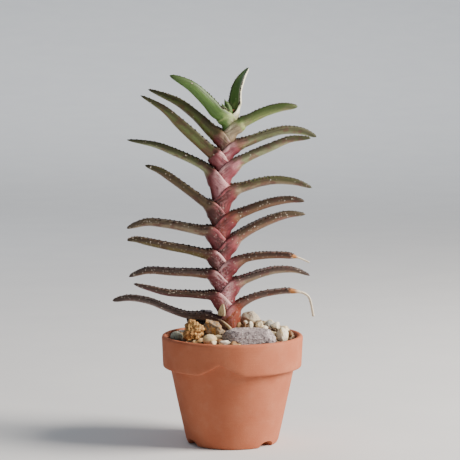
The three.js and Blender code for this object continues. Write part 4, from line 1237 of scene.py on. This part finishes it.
def spike(at, up, ahead, radius, height, sides=TOOTH_SIDES):
    """A small tooth: a closed cone that leans toward the leaf's end."""
    side = np.cross(up, ahead)
    ring = [at + radius * (math.cos(a) * ahead * 1.3 + math.sin(a) * side)
            for a in np.linspace(0, 2 * math.pi, sides, endpoint=False)]
    points = [at - up * radius * 0.7] + ring + [at + up * height + ahead * height * 0.45]
    faces = [(0, 1 + (i + 1) % sides, 1 + i) for i in range(sides)]
    faces += [(sides + 1, 1 + i, 1 + (i + 1) % sides) for i in range(sides)]
    return points, faces


def dome(at, up, ahead, radius, sides=BUMP_SIDES):
    """A small bump: a flattened round body half sunk in the leaf."""
    side = np.cross(up, ahead)
    points = [at - up * radius * 0.5]
    for reach, rise in ((1, 0), (0.75, 0.42)):
        points += [at + radius * (reach * (math.cos(a) * ahead + math.sin(a) * side) + rise * up)
                   for a in np.linspace(0, 2 * math.pi, sides, endpoint=False)]
    points.append(at + up * radius * 0.6)
    faces = [(0, 1 + (i + 1) % sides, 1 + i) for i in range(sides)]
    faces += [(1 + i, 1 + (i + 1) % sides, 1 + sides + (i + 1) % sides, 1 + sides + i) for i in range(sides)]
    faces += [(2 * sides + 1, 1 + sides + i, 1 + sides + (i + 1) % sides) for i in range(sides)]
    return points, faces


def unit(v):
    return v / max(float(np.linalg.norm(v)), 1e-9)


print("faces on one dome:", len(dome(np.zeros(3), np.array([0, 0, 1.0]), np.array([1.0, 0, 0]), 1)[1]))

# %% How many teeth and bumps each leaf has
BUMPS = {
    "leaf_left_10": 70, "leaf_right_10": 40, "leaf_left_09": 80, "leaf_right_09": 60, "leaf_left_08": 90,
    "leaf_right_08": 70, "leaf_left_07": 110, "leaf_right_07": 90, "leaf_left_06": 90, "leaf_right_06": 60,
    "leaf_left_05": 30, "leaf_right_05": 30, "leaf_left_04": 40, "leaf_right_04": 16, "leaf_left_03": 20,
    "leaf_right_03": 16, "leaf_left_02": 20, "leaf_right_02": 20, "leaf_left_01": 8, "leaf_right_01": 4,
    "leaf_young": 0,
}
BUMP_SLOT, TOOTH_SLOT = 1, 2


def leaf_details(name, rings, along, draw):
    """Teeth along both margins and bumps over the blade, as points, faces and material slots."""
    points, faces, slots = [], [], []
    blade = np.nonzero(along > 0.04)[0]
    end = DRY_FROM.get(name, 0.97)

    def put(made, slot):
        base = len(points)
        points.extend(made[0])
        faces.extend(tuple(base + v for v in face) for face in made[1])
        slots.extend([slot] * len(made[1]))

    if name != "leaf_young":
        for column, inner in ((0, 3), (FACE_STEPS, FACE_STEPS - 3)):
            k = blade[0] + 2.0
            while k < blade[-1] - 1:
                r = int(k)
                if along[r] < end:
                    up = unit(rings[r, column] - rings[r, inner])
                    ahead = unit(rings[r + 1, column] - rings[r, column])
                    up = unit(up - ahead * float(up @ ahead))
                    size = (0.36 + 0.24 * draw()) * (1.15 - 0.55 * along[r])
                    put(spike(rings[r, column] - up * 0.08, up, ahead, size, size * 1.5), TOOTH_SLOT)
                k += 2.4 + 2.2 * draw()
    for _ in range(BUMPS[name]):
        r = int(blade[0] + draw() ** 0.8 * (len(blade) - 6))
        column = int(2 + draw() * (len(ACROSS) - 4))
        size = 0.17 + 0.26 * draw() ** 2
        if along[r] > min(end, 0.93):
            continue
        ahead = unit(rings[r + 1, column] - rings[r - 1, column])
        side = rings[r, (column + 1) % len(ACROSS)] - rings[r, column - 1]
        up = unit(np.cross(ahead, side))
        middle = rings[r].mean(axis=0)
        if float(up @ (rings[r, column] - middle)) < 0:
            up = -up
        put(dome(rings[r, column], up, ahead, size), BUMP_SLOT)
    return points, faces, slots


print("most bumps on one leaf:", max(BUMPS.values()))

# %% [markdown]
# ## Young leaves in the crown
# The youngest leaves are narrow green points between the two top leaves. They are too small to show a
# sheath or a channel, so each is a short row of rings that swell from the foot and close to a point.
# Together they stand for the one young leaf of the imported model.

# %% Young leaves in the crown
SPEAR_RINGS = 24
YOUNG = [
    # foot, tip, half width, half thickness, turn
    ((-1.2, -2.0, 184.5), (-4.4, -2.6, 194.0), 1.7, 0.8, 14),
    ((-2.6, -2.8, 184.8), (-6.0, -3.2, 191.6), 1.5, 0.7, -8),
    ((-0.6, -1.2, 184.5), (-3.0, -1.6, 193.0), 1.6, 0.8, 10),
]


def spear(foot, tip, half_width, half_thick, turn):
    foot, tip = np.asarray(foot, float), np.asarray(tip, float)
    ahead = unit(tip - foot)
    side = unit(np.cross(ahead, (math.sin(turn * DEG), math.cos(turn * DEG), 0)))
    out = np.cross(side, ahead)
    t = np.linspace(0, 1, SPEAR_RINGS)
    swell = np.maximum(1 - t ** 3.2, 0.02) * (0.8 + 0.2 * np.sin(math.pi * t))
    turns = np.linspace(0, 2 * math.pi, len(ACROSS), endpoint=False)
    ring = half_width * np.outer(np.cos(turns), side) + half_thick * np.outer(np.sin(turns), out)
    return np.array([foot + (tip - foot) * share + wide * ring for share, wide in zip(t, swell)])


def young_leaves():
    """The rings of all spears, the numbers that the skin reads, and the faces."""
    rings = np.concatenate([spear(*one) for one in YOUNG])
    along = np.tile(np.linspace(-0.1, 0.95, SPEAR_RINGS), len(YOUNG))
    length = np.tile(np.linspace(0, 8, SPEAR_RINGS), len(YOUNG))
    rim, away = np.full(rings.shape[:2], 2.0), np.zeros(rings.shape[:2])
    body = ring_faces(SPEAR_RINGS, len(ACROSS))
    starts = [i * SPEAR_RINGS * len(ACROSS) for i in range(len(YOUNG))]
    faces = [tuple(start + v for v in face) for start in starts for face in body]
    return (rings, along, length, rim, away), faces


print("young leaves:", len(YOUNG))

# %% [markdown]
# ## Make the leaves
# One loop makes every leaf from its row of sizes: the body, its teeth and bumps, and six numbers for each
# point that the skin reads. Each leaf is one object with three materials: its own skin, bumps and teeth.

# %% Make the leaves
SLOT_OF = {"10": "low", "09": "low", "08": "low", "07": "middle", "06": "middle", "05": "middle",
           "04": "upper", "03": "upper", "02": "upper", "01": "top", "young": "top"}
WIDEST_RIM = 6
around = len(ACROSS)
body_faces = ring_faces(SHEATH_RINGS + BLADE_RINGS, around)
leaf_total = 0
for index, row in enumerate(LEAVES):
    name = row[0]
    made, faces = young_leaves() if name == "leaf_young" else (leaf_rings(row, index), body_faces)
    rings, along, length, rim, away = made
    extra, extra_faces, extra_slots = leaf_details(name, rings, along, random_source(501 + 31 * index))
    body = rings.reshape(-1, 3)
    faces = list(facing_out(body, faces))
    slots = [0] * len(faces) + extra_slots
    faces += [tuple(len(body) + v for v in face) for face in extra_faces]
    points = np.concatenate([body, np.array(extra).reshape(-1, 3)])
    read = {
        "along": np.repeat(along, around), "across": np.tile(ACROSS, len(rings)),
        "under": np.tile(BACK, len(rings)), "rim": np.minimum(rim, WIDEST_RIM).ravel(),
        "length": np.repeat(length, around), "angle": away.ravel(),
    }
    values = {key: np.concatenate([numbers, np.zeros(len(extra))]) for key, numbers in read.items()}
    skins = [leaf_material(name, index), bump_skin, tooth_skin]
    leaf = piece(name + "_piece", points, faces, skins, slots, values)
    stand_for(leaf, "leaf_" + SLOT_OF[name.split("_")[-1]], name)
    leaf_total += len(leaf.data.polygons)
print("faces in all leaves:", leaf_total)

# %% [markdown]
# ## Stem and dry flake
# The stem's woody core shows only where the lowest sheaths leave it free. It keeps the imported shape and
# gets a fibrous brown finish. The dry flake is a shred of an old sheath, papery and pale.

# %% Stem finish
def stranded_skin(name, finish, stretch, first, second, depth):
    """The finish is a roughness and a specular level. Stretch is how fine the strands are in x, y and z."""
    made, tree, shader = material(name, *finish)
    strand = use(tree, strands, {"Place": use(tree, place_mm)["Place"], "Stretch": stretch})
    tree.links.new(blend(tree, strand["Mask"], colour(first), colour(second)), shader["Base Color"])
    relief(tree, shader, strand["Height"], depth)
    return made


woody = stranded_skin("woody_stem", (0.8, 0.25), (2.2, 2.2, 0.25), "5a3526", "9a6a4c", 0.25)
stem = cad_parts["stem"]
stem.data.materials.clear()
stem.data.materials.append(woody)
print("material:", woody.name)

# %% Make the dry flake
papery = stranded_skin("papery_flake", (0.7, 0.3), (3.0, 3.0, 0.4), "e4d6b0", "b9a27a", 0.15)
FLAKE = dict(foot=72.2, tall=7, middle=42, turn=32, spread=28, radius=6.15, thick=0.65)
FLAKE_STEPS, FLAKE_RINGS = 12, 24
one_way = np.linspace(-1, 1, FLAKE_STEPS + 1)
flake_across = np.concatenate([one_way, one_way[-2:0:-1]])
flake_back = np.concatenate([np.zeros(FLAKE_STEPS + 1), np.ones(FLAKE_STEPS - 1)])
flake_rings = []
for t in np.linspace(0, 1, FLAKE_RINGS):
    z = FLAKE["foot"] + FLAKE["tall"] * t
    spread = mix(FLAKE["spread"], 3, t ** 1.5)
    angle = (FLAKE["middle"] + FLAKE["turn"] * t + spread * flake_across) * DEG
    wrinkle = np.array([0.16 * noise.noise(Vector((a * 4, t * 3, 5))) for a in flake_across])
    skin = FLAKE["thick"] * (1 - 0.4 * t) + wrinkle
    radius = FLAKE["radius"] + 0.9 * t * t + flake_back * skin
    x, y = lean_at(z) - radius * np.cos(angle), -radius * np.sin(angle)
    flake_rings.append(np.stack([x, y, np.full(len(angle), z)], -1))
flake_points = np.concatenate(flake_rings)
flake_faces = facing_out(flake_points, ring_faces(len(flake_rings), len(flake_across)))
stand_for(piece("dry_flake_piece", flake_points, flake_faces, [papery]), "dry_flake", "dry_flake")
print("flake points:", len(flake_points))

# %% [markdown]
# ## Floor and light
# A plain pale floor that rises gently far away, so that no edge shows behind the plant, and one big soft
# light from the right, like a window. A weak one from behind on the left lifts the far edges. A dim plain
# world fills the shadows, so the left side stays dark. The third light shines on the far floor.

# %% Floor
FLOOR_STEPS, FLOOR_ROWS, FLAT_REACH = 96, 60, 1.6
floor_skin = cloudy_skin("pale_floor", (0.9, 0.2), 60.0, 0.2, 0.8, "d8d9da", "dcdddd")
floor_rows = [(r, max(0, r - FLAT_REACH) ** 2 * 0.07) for r in np.linspace(0.1, 6, FLOOR_ROWS)]
turns = np.linspace(0, 2 * math.pi, FLOOR_STEPS, endpoint=False)
floor_points = [(1000 * r * math.cos(a), 1000 * r * math.sin(a), 1000 * z - 0.2)
                for r, z in floor_rows for a in turns]
floor_faces = [tuple(range(FLOOR_STEPS))]
floor_faces += [face[::-1] for face in ring_faces(len(floor_rows), FLOOR_STEPS, closed_ends=False)]
floor = piece("floor", floor_points, floor_faces, [floor_skin])
floor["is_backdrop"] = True
print("floor rises behind to metres:", round(floor_rows[-1][1], 2))

# %% Light
world = bpy.data.worlds.new("plain_world")
bpy.context.scene.world = world
world.use_nodes = True
sky = world.node_tree.nodes["Background"].inputs
sky["Color"].default_value = colour("dfe5ec")
sky["Strength"].default_value = 0.34


def soft_light(name, place, target, size, power, tint):
    light = bpy.data.objects.new(name, bpy.data.lights.new(name, "AREA"))
    light.data.size = size
    light.data.energy = power
    light.data.color = colour(tint)[:3]
    light.location = place
    light.rotation_euler = (Vector(target) - Vector(place)).to_track_quat("-Z", "Y").to_euler()
    bpy.context.scene.collection.objects.link(light)


soft_light("window", (1.1, -0.2, 0.7), (0, 0, 0.1), 0.6, 50, "fff6ec")
soft_light("back_fill", (-0.7, 1.0, 0.9), (0, 0, 0.1), 0.9, 5, "eef3ff")
soft_light("behind", (0, 2.2, 2.4), (0, 5.5, 0.4), 1.6, 70, "f4f6fa")
print("lights: 3 and a plain world")

# %% [markdown]
# ## Size of the dressed model
# The boxes of the imported model and of the dressed model are printed in millimetres.
# The dressed model must stay in the imported model's box.

# %% Sizes of the imported and the dressed model
new_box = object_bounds()
boxes = {"cad": [list(corner) for corner in cad_box], "visual": [list(corner) for corner in new_box]}
for key, (low, high) in boxes.items():
    print(key, [round(v * 1000, 1) for v in low], [round(v * 1000, 1) for v in high])
